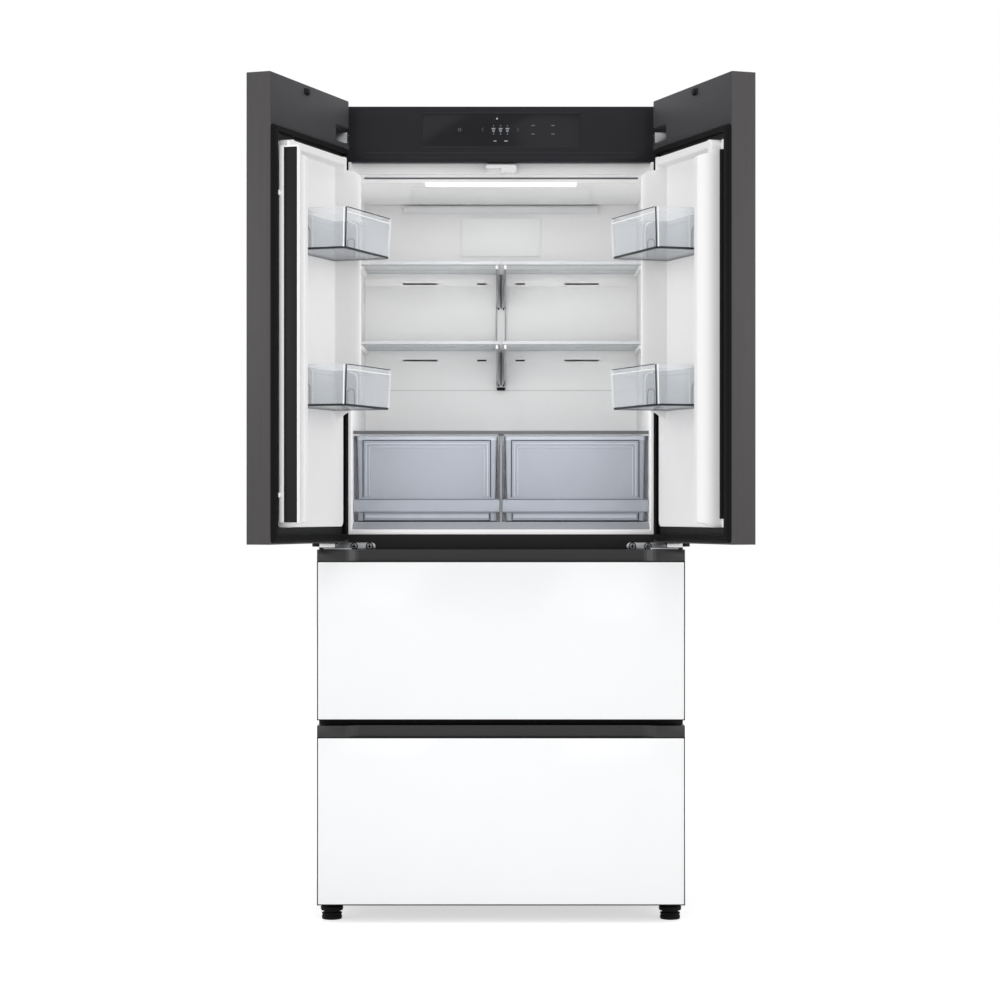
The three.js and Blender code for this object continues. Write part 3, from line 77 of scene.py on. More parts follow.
def noise_node(nodes, links, coords, scale, detail, stretch):
    """Noise over the coordinates, drawn out along the axes with a small stretch factor."""
    mapping = nodes.new("ShaderNodeMapping")
    mapping.inputs["Scale"].default_value = stretch
    links.new(coords, mapping.inputs["Vector"])
    noise = nodes.new("ShaderNodeTexNoise")
    noise.inputs["Scale"].default_value = scale
    noise.inputs["Detail"].default_value = detail
    links.new(mapping.outputs["Vector"], noise.inputs["Vector"])
    return noise.outputs["Fac"]


def material(
    name, colour, roughness=0.4, metallic=0.0, variation=0.03, tone_scale=9.0, grain=0.0,
    grain_scale=900.0, grain_depth=0.00004, stretch=(1, 1, 1), alpha=1.0, coat=0.0, glow=0.0, ior=1.5,
    specular=0.5,
):
    """Principled material whose tone, roughness and fine relief vary over the object's space."""
    made = bpy.data.materials.new(name)
    made.use_nodes = True
    nodes, links = made.node_tree.nodes, made.node_tree.links
    shader = nodes["Principled BSDF"]
    coords = nodes.new("ShaderNodeTexCoord").outputs["Object"]
    tone = noise_node(nodes, links, coords, tone_scale, 3, stretch)
    mix = nodes.new("ShaderNodeMix")
    mix.data_type = "RGBA"
    base = linear(colour)
    mix.inputs["A"].default_value = [c * (1 - variation) for c in base[:3]] + [1]
    mix.inputs["B"].default_value = [min(1, c * (1 + variation)) for c in base[:3]] + [1]
    links.new(tone, mix.inputs["Factor"])
    links.new(mix.outputs["Result"], shader.inputs["Base Color"])
    fine = noise_node(nodes, links, coords, grain_scale, 2, stretch)
    spread = nodes.new("ShaderNodeMapRange")
    spread.inputs["To Min"].default_value = roughness * 0.85
    spread.inputs["To Max"].default_value = min(1, roughness * 1.15)
    links.new(fine, spread.inputs["Value"])
    links.new(spread.outputs["Result"], shader.inputs["Roughness"])
    if grain:
        bump = nodes.new("ShaderNodeBump")
        bump.inputs["Strength"].default_value = grain
        bump.inputs["Distance"].default_value = grain_depth
        links.new(fine, bump.inputs["Height"])
        links.new(bump.outputs["Normal"], shader.inputs["Normal"])
    shader.inputs["Metallic"].default_value = metallic
    shader.inputs["IOR"].default_value = ior
    shader.inputs["Specular IOR Level"].default_value = specular
    shader.inputs["Alpha"].default_value = alpha
    if coat:
        shader.inputs["Coat Weight"].default_value = coat
        shader.inputs["Coat Roughness"].default_value = 0.08
    if glow:
        shader.inputs["Emission Color"].default_value = base
        shader.inputs["Emission Strength"].default_value = glow
    return made


BRUSH_UP = (1, 1, 0.015)  # brushed along z
BRUSH_ACROSS = (0.015, 1, 1)  # brushed along x
CASE_STEEL = material("case_steel", (46, 46, 48), 0.42, 0.0, 0.05, 6, 0.5, 1600, specular=0.3)
DOOR_TRIM = material(
    "door_trim", (76, 74, 75), 0.5, 0.1, 0.12, 260, 0.35, 900, stretch=BRUSH_UP, specular=0.15
)
DRAWER_TRIM = material(
    "drawer_trim", (52, 51, 52), 0.24, 0.5, 0.10, 260, 0.3, 900, stretch=BRUSH_ACROSS, specular=0.3
)
WHITE_GLASS = material("white_glass", (247, 248, 249), 0.10, 0, 0.006, 4, coat=0.15, specular=0.3)
DISPLAY = material("display", (30, 30, 34), 0.16, 0, 0.06, 5, specular=0.12)
PANEL = material("panel", (36, 36, 40), 0.38, 0, 0.06, 8, 0.35, 1500, specular=0.12)
PANEL_LINE = material("panel_line", (50, 50, 54), 0.4, 0, 0.05, 8, specular=0.2)
WHITE_PLASTIC = material("white_plastic", (240, 239, 239), 0.42, 0, 0.012, 5, 0.25, 1100)
INNER_WHITE = material("inner_white", (247, 246, 246), 0.46, 0, 0.012, 4, 0.25, 1000)
GREY_PLASTIC = material("grey_plastic", (196, 198, 201), 0.45, 0, 0.03, 7, 0.3, 1100)
RAIL_GREY = material("rail_grey", (230, 230, 231), 0.4, 0, 0.02, 7, 0.3, 1100)
# riser_grey is painted shade where it lies on the compartment floor's front slope
RISER_GREY = material("riser_grey", (140, 143, 147), 0.5, 0, 0.03, 7, 0.3, 1100)
PLATE_WHITE = material("plate_white", (248, 248, 248), 0.4, 0, 0.012, 7, 0.3, 1100)
CLEAR = material("clear_plastic", (222, 228, 234), 0.10, 0, 0.03, 12, alpha=0.2, ior=1.49)
CLEAR_EDGE = material("clear_edge", (226, 230, 234), 0.14, 0, 0.04, 30, alpha=0.6, ior=1.49)
# painted shade: the dark lines along the clear door bins' edges, corners and foot
CLEAR_SHADE_LINES = material("clear_painted_shade", (14, 17, 22), 0.3, 0, 0.05, 30, alpha=0.94, ior=1.49, specular=0.2)
CLEAR_FLOOR = material("clear_floor", (178, 183, 190), 0.18, 0, 0.04, 14, alpha=0.5, ior=1.49)
BLUE_CLEAR = material("blue_clear", (196, 202, 212), 0.12, 0, 0.03, 12, alpha=0.42, ior=1.49)
BLUE_EDGE = material("blue_edge", (206, 211, 222), 0.16, 0, 0.05, 30, alpha=0.6, ior=1.49)
# painted shade: the dark lines along the crisper trays' edges, corners, grip and panel foot
BLUE_SHADE_LINES = material("blue_painted_shade", (46, 50, 60), 0.3, 0, 0.05, 30, alpha=0.92, ior=1.49, specular=0.2)
SHELF_GLASS = material("shelf_glass", (214, 224, 224), 0.06, 0, 0.02, 6, alpha=0.22, ior=1.52)
CHROME = material("chrome", (186, 188, 190), 0.22, 1.0, 0.04, 40, 0.1, 1500)
ZINC = material("zinc", (142, 143, 145), 0.34, 1.0, 0.10, 60, 0.4, 1200)
RUBBER = material("seal_rubber", (9, 9, 10), 0.7, 0, 0.06, 25, 0.5, 1400, specular=0.12)
BLACK_PLASTIC = material("black_plastic", (21, 21, 23), 0.46, 0, 0.08, 20, 0.5, 1300, specular=0.15)
BLACK_PLATE = material("black_plate", (40, 40, 41), 0.55, 0, 0.06, 10, 0.5, 1300, specular=0.12)
UPPER_PLATE = material("upper_plate", (66, 65, 68), 0.5, 0, 0.06, 10, 0.5, 1300, specular=0.12)
DEEP_BLACK = material("deep_black", (14, 14, 15), 0.6, 0, 0.06, 10, 0.3, 1300, specular=0.1)
MACHINE_BLACK = material("machine_black", (26, 26, 28), 0.35, 0, 0.08, 20, 0.5, 700)
ALUMINIUM = material("aluminium", (176, 179, 183), 0.36, 1.0, 0.06, 80, 0.3, 1200)
BOARD = material("board", (34, 84, 52), 0.5, 0, 0.10, 90, 0.3, 900)
FOAM = material("foam", (222, 206, 160), 0.9, 0, 0.08, 60, 0.8, 300)
TUB = material("tub_grey", (190, 194, 198), 0.42, 0, 0.03, 9, 0.3, 1100)
LAMP = material("lamp_lens", (252, 253, 255), 0.35, 0, 0.01, 9, glow=0.6)
MARK = material("display_mark", (168, 171, 177), 0.5, 0, 0.04, 300)
MARK_DIM = material("display_mark_dim", (96, 98, 104), 0.5, 0, 0.04, 300)
VENT_DARK = material("vent_dark", (92, 94, 97), 0.6, 0, 0.06, 20, 0.4, 900)


# ---- Mesh building ----------------------------------------------------------------------------
def corner_arc(before, corner, after, radius, steps):
    """Points of a rounded corner of an outline."""
    corner = Vector(corner)
    to_before = (Vector(before) - corner).normalized()
    to_after = (Vector(after) - corner).normalized()
    half = to_before.angle(to_after) / 2
    reach = radius / math.tan(half)
    centre = corner + (to_before + to_after).normalized() * (radius / math.sin(half))
    start = corner + to_before * reach - centre
    end = corner + to_after * reach - centre
    sweep = start.angle_signed(end, 0)
    first = math.atan2(start.y, start.x)
    return [
        (
            centre.x + radius * math.cos(first - sweep * i / steps),
            centre.y + radius * math.sin(first - sweep * i / steps),
        )
        for i in range(steps + 1)
    ]


def rounded(points, radius, steps=5):
    """Outline through the points with its corners rounded; radius is one number or one a corner."""
    radii = radius if hasattr(radius, "__len__") else [radius] * len(points)
    made = []
    for i, point in enumerate(points):
        if radii[i] <= 0:
            made.append(tuple(point))
        else:
            made += corner_arc(points[i - 1], point, points[(i + 1) % len(points)], radii[i], steps)
    return made


def rectangle(x0, x1, y0, y1, radius=0, steps=5):
    """Outline of a rectangle with rounded corners."""
    return rounded([(x0, y0), (x1, y0), (x1, y1), (x0, y1)], radius, steps)


def place(axis, a, b, t):
    """A point of an outline (a, b) at t along the axis."""
    return {"x": (t, a, b), "y": (a, t, b), "z": (a, b, t)}[axis]


def loop_verts(bm, points):
    """New vertices at the points."""
    return [bm.verts.new(point) for point in points]


def bridge(bm, first, second, index=0):
    """Band of faces between two closed loops."""
    count = len(first)
    for i in range(count):
        j = (i + 1) % count
        bm.faces.new((first[i], first[j], second[j], second[i])).material_index = index


def loft(bm, loops, index=0, closed=False):
    """Skin through loops of equal length; capped, or joined end to end when closed."""
    rows = [loop_verts(bm, loop) for loop in loops]
    for first, second in zip(rows, rows[1:]):
        bridge(bm, first, second, index)
    if closed:
        bridge(bm, rows[-1], rows[0], index)
    else:
        bm.faces.new(rows[0]).material_index = index
        bm.faces.new(rows[-1]).material_index = index
    return rows


def prism(bm, outline, axis, t0, t1, edge=0.0, index=0, segments=2):
    """Outline drawn out along an axis, its two rims rounded by edge."""
    rows = loft(bm, [[place(axis, a, b, t) for a, b in outline] for t in (t0, t1)], index)
    if edge:
        rims = [bm.edges.get((row[i - 1], row[i])) for row in rows for i in range(len(row))]
        bmesh.ops.bevel(
            bm, geom=rims, offset=edge, segments=segments, profile=0.5, affect="EDGES",
            clamp_overlap=True, material=index,
        )


def block(bm, x0, x1, y0, y1, z0, z1, edge=0.6, index=0, segments=2):
    """Box with all its edges rounded."""
    verts = bmesh.ops.create_cube(bm, size=1)["verts"]
    for vert in verts:
        x, y, z = vert.co
        vert.co = (x0 + (x + 0.5) * (x1 - x0), y0 + (y + 0.5) * (y1 - y0), z0 + (z + 0.5) * (z1 - z0))
    edges = dict.fromkeys(e for vert in verts for e in vert.link_edges)  # each once, in a fixed order
    for vert in verts:
        for face in vert.link_faces:
            face.material_index = index
    if edge:
        bmesh.ops.bevel(
            bm, geom=list(edges), offset=edge, segments=segments, profile=0.5, affect="EDGES",
            clamp_overlap=True, material=index,
        )


def turned(bm, profile, axis, centre, segments=32, index=0):
    """Body of revolution: profile of (radius, t) with t along the axis; ends on the axis are closed."""
    rows = []
    for radius, t in profile:
        points = []
        for i in range(segments):
            angle = 2 * math.pi * i / segments
            a = centre[0] + radius * math.cos(angle)
            b = centre[1] + radius * math.sin(angle)
            points.append(place(axis, a, b, t))
        rows.append(points)
    loft(bm, rows, index)


def sweep(bm, path, profile, index=0, closed=True, up=(0, 0, 1)):
    """Profile of (outward, up) points carried along a path; outward is to the path's right."""
    up = Vector(up)
    points = [Vector(p) for p in path]
    count = len(points)
    loops = []
    for i, point in enumerate(points):
        before = points[i - 1] if closed or i else point
        after = points[(i + 1) % count] if closed or i < count - 1 else point
        a = (point - before).normalized()
        b = (after - point).normalized()
        along = (a + b).normalized()
        side = along.cross(up).normalized()
        widen = 1 / max(0.4, along.dot(b if b.length else a))
        loops.append([point + side * (w * widen) + up * h for w, h in profile])
    loft(bm, loops, index, closed)


def tube(bm, path, radius, sides=10, index=0):
    """Round tube along an open path."""
    points = [Vector(p) for p in path]
    loops = []
    normal = None
    for i, point in enumerate(points):
        before = points[max(0, i - 1)]
        after = points[min(len(points) - 1, i + 1)]
        along = (after - before).normalized()
        if normal is None:
            normal = along.orthogonal().normalized()
        normal = (normal - along * normal.dot(along)).normalized()
        side = along.cross(normal)
        loops.append(
            [
                point + (normal * math.cos(t) + side * math.sin(t)) * radius
                for t in (2 * math.pi * k / sides for k in range(sides))
            ]
        )
    loft(bm, loops, index)


def piece(name, bm, materials, body, space=CASE, mirror=False, replaces=(), smooth=32):
    """Object from a mesh built in a space, riding on a body."""
    bm.transform(MIRROR @ space if mirror else space)
    bmesh.ops.recalc_face_normals(bm, faces=bm.faces)
    mesh = bpy.data.meshes.new(name)
    bm.to_mesh(mesh)
    bm.free()
    for entry in materials if isinstance(materials, (list, tuple)) else [materials]:
        mesh.materials.append(entry)
    mesh.polygons.foreach_set("use_smooth", [True] * len(mesh.polygons))
    mesh.set_sharp_from_angle(angle=math.radians(smooth))
    made = bpy.data.objects.new(name, mesh)
    bpy.context.scene.collection.objects.link(made)
    if replaces:
        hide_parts(*replaces)
    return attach(made, body)


def dress(node, entry, edge=0.6, smooth=30, segments=2):
    """Material, rounded edges and smooth shading for a CAD node that stays."""
    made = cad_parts[node]
    made.data.materials.clear()
    made.data.materials.append(entry)
    made.data.polygons.foreach_set("use_smooth", [True] * len(made.data.polygons))
    made.data.set_sharp_from_angle(angle=math.radians(smooth))
    if edge:
        made.modifiers.new("weld", "WELD").merge_threshold = 0.00001
        round_off = made.modifiers.new("round", "BEVEL")
        round_off.width = edge * MM
        round_off.segments = segments
        round_off.limit_method = "ANGLE"
        round_off.angle_limit = math.radians(40)
        round_off.harden_normals = True
    return made


# ---- Case -------------------------------------------------------------------------------------
dress("outer_case", CASE_STEEL, 1.2)
dress("back_panel", CASE_STEEL, 0.4)
dress("base_frame", CASE_STEEL, 0.5)
dress("insulation_foam", FOAM, 0)
dress("front_frame", BLACK_PLASTIC, 0.6)
dress("control_panel_housing", PANEL, 0.8)
dress("display_glass", DISPLAY, 0.4)
dress("control_board", BOARD, 0.2)
dress("upper_liner", INNER_WHITE, 0.8)
dress("duct_cover", INNER_WHITE, 0.3)
dress("shelf_rail", RAIL_GREY, 0.5)
dress("mullion_guide", WHITE_PLASTIC, 0.8)
for side, _ in SIDES:
    dress(f"{side}_upper_hinge", ZINC, 0.5)
    dress(f"{side}_lower_hinge", ZINC, 0.6)
    for level in LEVELS:
        dress(f"{level}_shelf_{side}", SHELF_GLASS, 0.6)
    dress(f"{side}_door_frame", DOOR_TRIM, 0.6)
    dress(f"{side}_door_glass", WHITE_GLASS, 0.5)
    dress(f"{side}_roller", BLACK_PLASTIC, 1.0)
dress("crisper_cover", SHELF_GLASS, 0.5)
dress("evaporator", ALUMINIUM, 0.2)
dress("condenser", ALUMINIUM, 0.2)
dress("evaporator_fan", WHITE_PLASTIC, 0.3)
dress("condenser_fan", BLACK_PLASTIC, 0.3)
dress("evaporator_fan_motor", MACHINE_BLACK, 0.5)
dress("condenser_fan_motor", MACHINE_BLACK, 0.5)
dress("compressor", MACHINE_BLACK, 0.6, 50)
dress("drip_tray", BLACK_PLASTIC, 0.5)
dress("machine_room_cover", BLACK_PLASTIC, 0.3)
dress("power_inlet", BLACK_PLASTIC, 0.4)
dress("mullion", INNER_WHITE, 0.6)
for level in LEVELS:
    dress(f"{level}_drawer_liner", INNER_WHITE, 0.8)
    dress(f"{level}_drawer_rails", ZINC, 0.5)
    dress(f"{level}_drawer_glass", WHITE_GLASS, 0.5)
    dress(f"{level}_drawer_tub", TUB, 0.8)

# ---- Door liners, seals and bins --------------------------------------------------------------
LINER = {"u": (47, 377), "z": (898, 1722), "plate": 8, "corner": 14, "foot": 0.3}
RIDGE = {
    "hinge": (79, 92), "free": (355, 377), "top": 22, "height": 62, "hinge_height": 66.5, "end": (1116, 1160),
    "flank": 4.5,
}
LIP = {"z": 1672, "run": 20, "height": 31}  # where the ridges round off to clear the compartment's lip
SILL = {"z": (897, 909.5), "height": (22, 48)}  # slope that clears the compartment's sill
FINE = (0, 0.8, 1.7, 2.6, 3.6, 4.8, 6.5)  # grid steps across a ridge's flank
LINER_GRID_U = (
    [47.6, 49, 52, 58, 68, 76] + [78 + f for f in FINE] + [90 + f for f in FINE]
    + [104, 130, 170, 220, 270, 310, 340, 352] + [354 + f for f in FINE]
    + [364, 369, 371.5, 373.5, 375, 376.2, 377]
)
END_LOW, END_HIGH = RIDGE["end"]
LINER_GRID_Z = (
    [898.3, 899.2, 900.6, 903, 906, 909.5, 911, 916, 930, 1000, 1080]
    + [END_LOW + (END_HIGH - END_LOW) * math.sin(math.pi / 2 * i / 14) for i in range(15)]
    + [1180, 1240, 1300, 1400, 1500, 1600, 1660, 1672, 1676, 1680, 1683, 1686, 1688.5]
    + [1690.3, 1691.5, 1692, 1695] + [1699 + f for f in FINE] + [1710, 1714, 1717.5, 1719.5, 1721, 1722]
)


def smoothstep(value):
    """Smooth rise from 0 to 1."""
    value = max(0, min(1, value))
    return value * value * (3 - 2 * value)


def ridge_limit(z):
    """Height that the ridges may have so that the closed door clears the compartment's rims."""
    full = RIDGE["hinge_height"]
    (z_low, z_high), (low, high) = SILL["z"], SILL["height"]
    if z > LIP["z"]:
        share = (z - LIP["z"]) / LIP["run"]
        return LIP["height"] + (full - LIP["height"]) * math.sqrt(max(0, 1 - share**2))
    if z < z_high:
        return low + max(0, z - z_low) / (z_high - z_low) * (high - low)
    return full


def liner_height(u, z):
    """Height of the door liner above the door's back."""
    plate, flank = LINER["plate"], RIDGE["flank"]
    u0, u1 = RIDGE["hinge"]
    hinge = smoothstep((u - u0 + 1) / flank) * smoothstep((u1 + 3 - u) / flank)
    if z < END_HIGH:
        fall = max(0, (z - END_LOW) / (END_HIGH - END_LOW))
        hinge *= 1 - math.sqrt(max(0, 1 - fall * fall))
    free = smoothstep((u - RIDGE["free"][0] + 1) / flank) * smoothstep((LINER["u"][1] + 2.2 - u) / flank)
    top = smoothstep((z - (LINER["z"][1] - RIDGE["top"])) / flank)
    top *= smoothstep((LINER["z"][1] + 2.2 - z) / flank) * smoothstep((u - u0 + 1) / flank)
    limit = ridge_limit(z) - plate
    tall = hinge * min(RIDGE["hinge_height"] - plate, limit)
    return plate + max(tall, max(free, top) * min(RIDGE["height"] - plate, limit))


def door_liner():
    """Inner liner of a door: a plate with raised ridges at both sides and the top."""
    bm = bmesh.new()
    us, zs = LINER_GRID_U, LINER_GRID_Z
    corner = LINER["corner"]
    u_low, u_high = LINER["u"]
    z_low, z_high = LINER["z"]

    def inset(z):
        gap = min(z - z_low, z_high - z)
        return 0 if gap >= corner else corner - math.sqrt(max(0, corner**2 - (corner - gap) ** 2))

    reach = 12  # how far from the outline its rounding is taken up
    edge, drop = 1.6, 2.2  # rounding of the outline's edge

    def point(u, z, depth=None):
        pull = inset(z)
        if u - u_low < reach + pull:
            u = u_low + pull + (u - u_low) * reach / (reach + pull)
        if u_high - u < reach + pull:
            u = u_high - pull - (u_high - u) * reach / (reach + pull)
        height = liner_height(u, z) if depth is None else depth
        rim = min(u - u_low - pull, u_high - pull - u, z - z_low, z_high - z)
        if depth is None and rim < edge:
            height -= drop * (1 - max(0, rim) / edge) ** 2
        return (u - DOOR_SIDE, DOOR_BACK + height, z)

    top = [[bm.verts.new(point(u, z)) for u in us] for z in zs]
    for r in range(len(zs) - 1):
        for c in range(len(us) - 1):
            bm.faces.new((top[r][c], top[r][c + 1], top[r + 1][c + 1], top[r + 1][c]))
    rim = [(us[c], zs[0], top[0][c]) for c in range(len(us))]
    rim += [(us[-1], zs[r], top[r][-1]) for r in range(1, len(zs))]
    rim += [(us[c], zs[-1], top[-1][c]) for c in range(len(us) - 2, -1, -1)]
    rim += [(us[0], zs[r], top[r][0]) for r in range(len(zs) - 2, 0, -1)]
    foot = [bm.verts.new(point(u, z, LINER["foot"])) for u, z, _ in rim]
    bridge(bm, [vert for _, _, vert in rim], foot)
    bm.faces.new(foot)
    return bm


DOOR_SEAL = (31.5, 404.2, 873.5, 1743.5)  # middle line of the gasket
DOOR_SEAL_PROFILE = [
    (7.3, 0.3), (7.3, 2.2), (5.2, 3.0), (5.2, 4.2), (7.4, 5.2), (7.4, 10.4), (6.4, 11.6), (-3.4, 11.6),
    (-4.4, 10.4), (-4.4, 6.2), (-5.6, 5.4), (-7.4, 4.2), (-7.4, 0.3),
]


def door_seal():
    """Gasket ring with a magnet bulb and a folded foot."""
    bm = bmesh.new()
    path = [(a - DOOR_SIDE, DOOR_BACK, b) for a, b in rectangle(*DOOR_SEAL, 4, 4)]
    sweep(bm, path, DOOR_SEAL_PROFILE, up=(0, 1, 0))
    return bm


# the dark index draws painted shade lines on the clear trays, and the pale one painted highlight lines on the
# door bins
WALL, RIM, DARK, FLOOR, PAINTED_HIGHLIGHT = range(5)  # material indices of the clear trays
BIN = {"u": (95, 348), "d": (8.3, 145), "height": 89, "wall": 2.4, "corner": 10, "draft": 3.2}
BIN_LEVELS = {"lower": 1156, "upper": 1489}


def door_bin(z0):
    """Clear tray of a door, open at the top."""
    bm = bmesh.new()
    u0, u1 = BIN["u"]
    d0, d1 = BIN["d"]
    wall, radius, draft = BIN["wall"], BIN["corner"], BIN["draft"]
    top = z0 + BIN["height"]

    def ring(inset, z):
        corners = [(u0 + inset, d0), (u1 - inset, d0), (u1 - inset, d1 - inset), (u0 + inset, d1 - inset)]
        return [(u - DOOR_SIDE, DOOR_BACK + d, z) for u, d in rounded(corners, [1.5, 1.5, radius, radius])]

    rows = [
        ring(draft + 2.6, z0), ring(draft + 0.5, z0 + 0.7), ring(draft, z0 + 4.8), ring(0.5, top - 12),
        ring(0, top - 11), ring(0, top - 0.9), ring(0.8, top), ring(wall + 0.8, top),
        ring(wall + 1.4, top - 0.9), ring(wall + 1.4, top - 10), ring(wall + 0.7, top - 12),
        ring(draft + wall, z0 + 5.2), ring(draft + wall + 1.8, z0 + 3.4),
    ]
    # the two lowest bands are painted shade along the tray's foot
    indices = [DARK, DARK, WALL, RIM, WALL, RIM, RIM, RIM, WALL, RIM, WALL, RIM]
    loops = [loop_verts(bm, row) for row in rows]
    for first, second, index in zip(loops, loops[1:], indices):
        bridge(bm, first, second, index)
    for loop in (loops[0], loops[-1]):
        bm.faces.new(loop).material_index = FLOOR
    front = DOOR_BACK + d1
    ends = (u0 - DOOR_SIDE, u1 - DOOR_SIDE)
    # painted shade line along the rim's top edge and painted highlight line along its foot
    for z, half, index in ((top - 0.6, 0.9, DARK), (top - 11.2, 1.1, PAINTED_HIGHLIGHT)):  # rim lines
        block(bm, ends[0] + 9, ends[1] - 9, front - 0.6, front + 0.4, z - half, z + half, 0.2, index, 1)
    # painted shade line down one end's corner, painted highlight line down the other, and a painted highlight
    # bead beside each
    for x, lean, thick, index in ((ends[1] - 4.6, -1, 1.4, DARK), (ends[0] + 4.6, 1, 1.0, PAINTED_HIGHLIGHT)):
        lines = ((x, front - 0.9, thick, index), (x - lean * 3.4, front - 4.4, 1.4, PAINTED_HIGHLIGHT))
        for x_top, y_top, half, entry in lines:
            tube(bm, [(x_top, y_top, top - 1), (x_top + lean * draft, y_top - draft, z0 + 4)], half, 6, entry)
    # arch drawn as a painted shade line, hook as a painted highlight line
    for x in (ends[0] + 8, ends[1] - 8):  # arch inside each end wall for the liner's lug, and its hook
        arch = [(x, DOOR_BACK + 50 + 8.5 * math.cos(t), z0 + 40 + 8.5 * math.sin(t)) for t in
                (math.pi * k / 8 for k in range(9))]
        arch = [(x, arch[0][1], z0 + 6)] + arch + [(x, arch[-1][1], z0 + 6)]
        tube(bm, arch, 0.9, 6, DARK)
        hook = [(x, DOOR_BACK + d, z) for d, z in
                ((46, top - 3), (58, top - 6), (64, top - 13), (65, top - 24), (65, z0 + 5))]
        tube(bm, hook, 1.2, 6, PAINTED_HIGHLIGHT)
    return bm


DOOR_SHEET = {"u": (3, 411), "z": (865, 1752), "corner": 6, "top": 1860, "edge": 1.5}
HINGE_NOTCH = {"u": 72.6, "z": (1763.4, 1800.8)}
BUMPER = (208, 1846)
BUMPER_BASE = {"x": (196, 220), "z": (1839.5, 1852.5)}
BUMPER_PROFILE = [(6.5, -0.5), (8, 0.5), (8, 5), (6.5, 8), (3, 8.4)]
STOPPER = (46, 60, -9.5, 2.5, 853.2, 862.4)
for side, mirror in SIDES:
    door = f"{side}_door"
    piece(f"{side}_liner_shell", door_liner(), WHITE_PLASTIC, door, DOOR, mirror, [f"{side}_door_liner"],
          50)
    piece(f"{side}_gasket", door_seal(), RUBBER, door, DOOR, mirror, [f"{side}_door_seal"])
    for level, z0 in BIN_LEVELS.items():
        piece(f"{side}_{level}_bin", door_bin(z0), [CLEAR, CLEAR_EDGE, CLEAR_SHADE_LINES, CLEAR_FLOOR, PLATE_WHITE],
              door, DOOR, mirror, [f"{side}_door_{level}_bin"], 40)
    # black sheet behind the gasket and the grey one above it, cut out for the upper hinge
    x0, x1 = (u - DOOR_SIDE for u in DOOR_SHEET["u"])
    bm = bmesh.new()
    prism(bm, rectangle(x0, x1, *DOOR_SHEET["z"], DOOR_SHEET["corner"]), "y", DOOR_BACK + 0.02,
          DOOR_BACK + 0.28, 0.08)
    piece(f"{side}_door_inner_plate", bm, BLACK_PLATE, door, DOOR, mirror)
    bm = bmesh.new()
    edge, notch, foot = DOOR_SHEET["edge"] - DOOR_SIDE, HINGE_NOTCH["u"] - DOOR_SIDE, DOOR_SHEET["z"][1] + 0.6
    notch_low, notch_high = HINGE_NOTCH["z"]
    outline = [(edge, foot), (x1, foot), (x1, DOOR_SHEET["top"]), (edge, DOOR_SHEET["top"])]
    outline += [(edge, notch_high), (notch, notch_high), (notch, notch_low), (edge, notch_low)]
    prism(bm, outline, "y", DOOR_BACK + 0.02, DOOR_BACK + 0.3, 0.08)
    piece(f"{side}_door_upper_plate", bm, UPPER_PLATE, door, DOOR, mirror)
    bm = bmesh.new()
    block(bm, *BUMPER_BASE["x"], DOOR_BACK - 0.4, DOOR_BACK + 3.4, *BUMPER_BASE["z"], 1.6)
    turned(bm, [(radius, DOOR_BACK + t) for radius, t in BUMPER_PROFILE], "y", BUMPER, 24)
    piece(f"{side}_door_bumper", bm, BLACK_PLASTIC, door, DOOR, mirror)
    bm = bmesh.new()
    block(bm, *STOPPER, 0.8)
    piece(f"{side}_door_stopper", bm, BLACK_PLASTIC, door, DOOR, mirror)

# ---- Drawer fronts ----------------------------------------------------------------------------
FRONT_FACE, FRONT_BACK = -68, -12
PULL = {"height": 26, "depth": 13, "deep": 321, "flush": 353, "corner": 3}
DRAWER_SILLS = {"upper": (26, 24), "lower": (50, 24)}  # front hidden below and above the opening
DRAWER_SEAL_HALF = 363
DRAWER_SEAL_PROFILE = [
    (6, FRONT_BACK), (6, FRONT_BACK + 2.4), (4, FRONT_BACK + 3.4), (6, FRONT_BACK + 4.6), (6, -1.6),
    (5, -0.5), (-4, -0.5), (-5, -1.6), (-5, FRONT_BACK + 5), (-6.5, FRONT_BACK + 3), (-6.5, FRONT_BACK),
]


def pull_plan():
    """Plan of the strip above the glass: an S-curve leads into the finger recess at each end."""
    half = span("upper_drawer_front")[1]
    radius = PULL["corner"]
    curve = []
    for i in range(25):
        share = i / 24
        x = PULL["flush"] + (PULL["deep"] - PULL["flush"]) * share
        curve.append((x, FRONT_FACE + PULL["depth"] * smoothstep(share)))
    corner = [
        (half - radius + radius * math.cos(t), FRONT_FACE + radius + radius * math.sin(t)) for t in
        (-math.pi / 2 * k / 4 for k in range(5))
    ]
    right = [(half, FRONT_BACK)] + corner + curve
    return right + [(-x, y) for x, y in reversed(right)]


def drawer_front(level):
    """Frame around a drawer's glass with its pull: 0 trim, 1 black lines at the glass."""
    bm = bmesh.new()
    x0, x1, y0, y1, z0, z1 = span(f"{level}_drawer_front")
    glass_x0, glass_x1, _, glass_back, glass_z0, glass_z1 = span(f"{level}_drawer_glass")
    gap, lap = 0.2, glass_back + 2
    shoulder = z1 - PULL["height"]
    prism(bm, pull_plan(), "z", shoulder, z1, 0.7)
    block(bm, x0, x1, glass_back + 0.1, y1, z0, shoulder, 1.0)
    block(bm, x0, glass_x0 - gap, y0, lap, z0, shoulder, 0.5)
    block(bm, glass_x1 + gap, x1, y0, lap, z0, shoulder, 0.5)
    block(bm, x0 + 0.3, x1 - 0.3, y0, lap, z0, glass_z0 - gap, 0.3, 1)
    block(bm, x0 + 0.3, x1 - 0.3, y0, lap, glass_z1 + gap, shoulder + 0.3, 0.5, 1)
    return bm


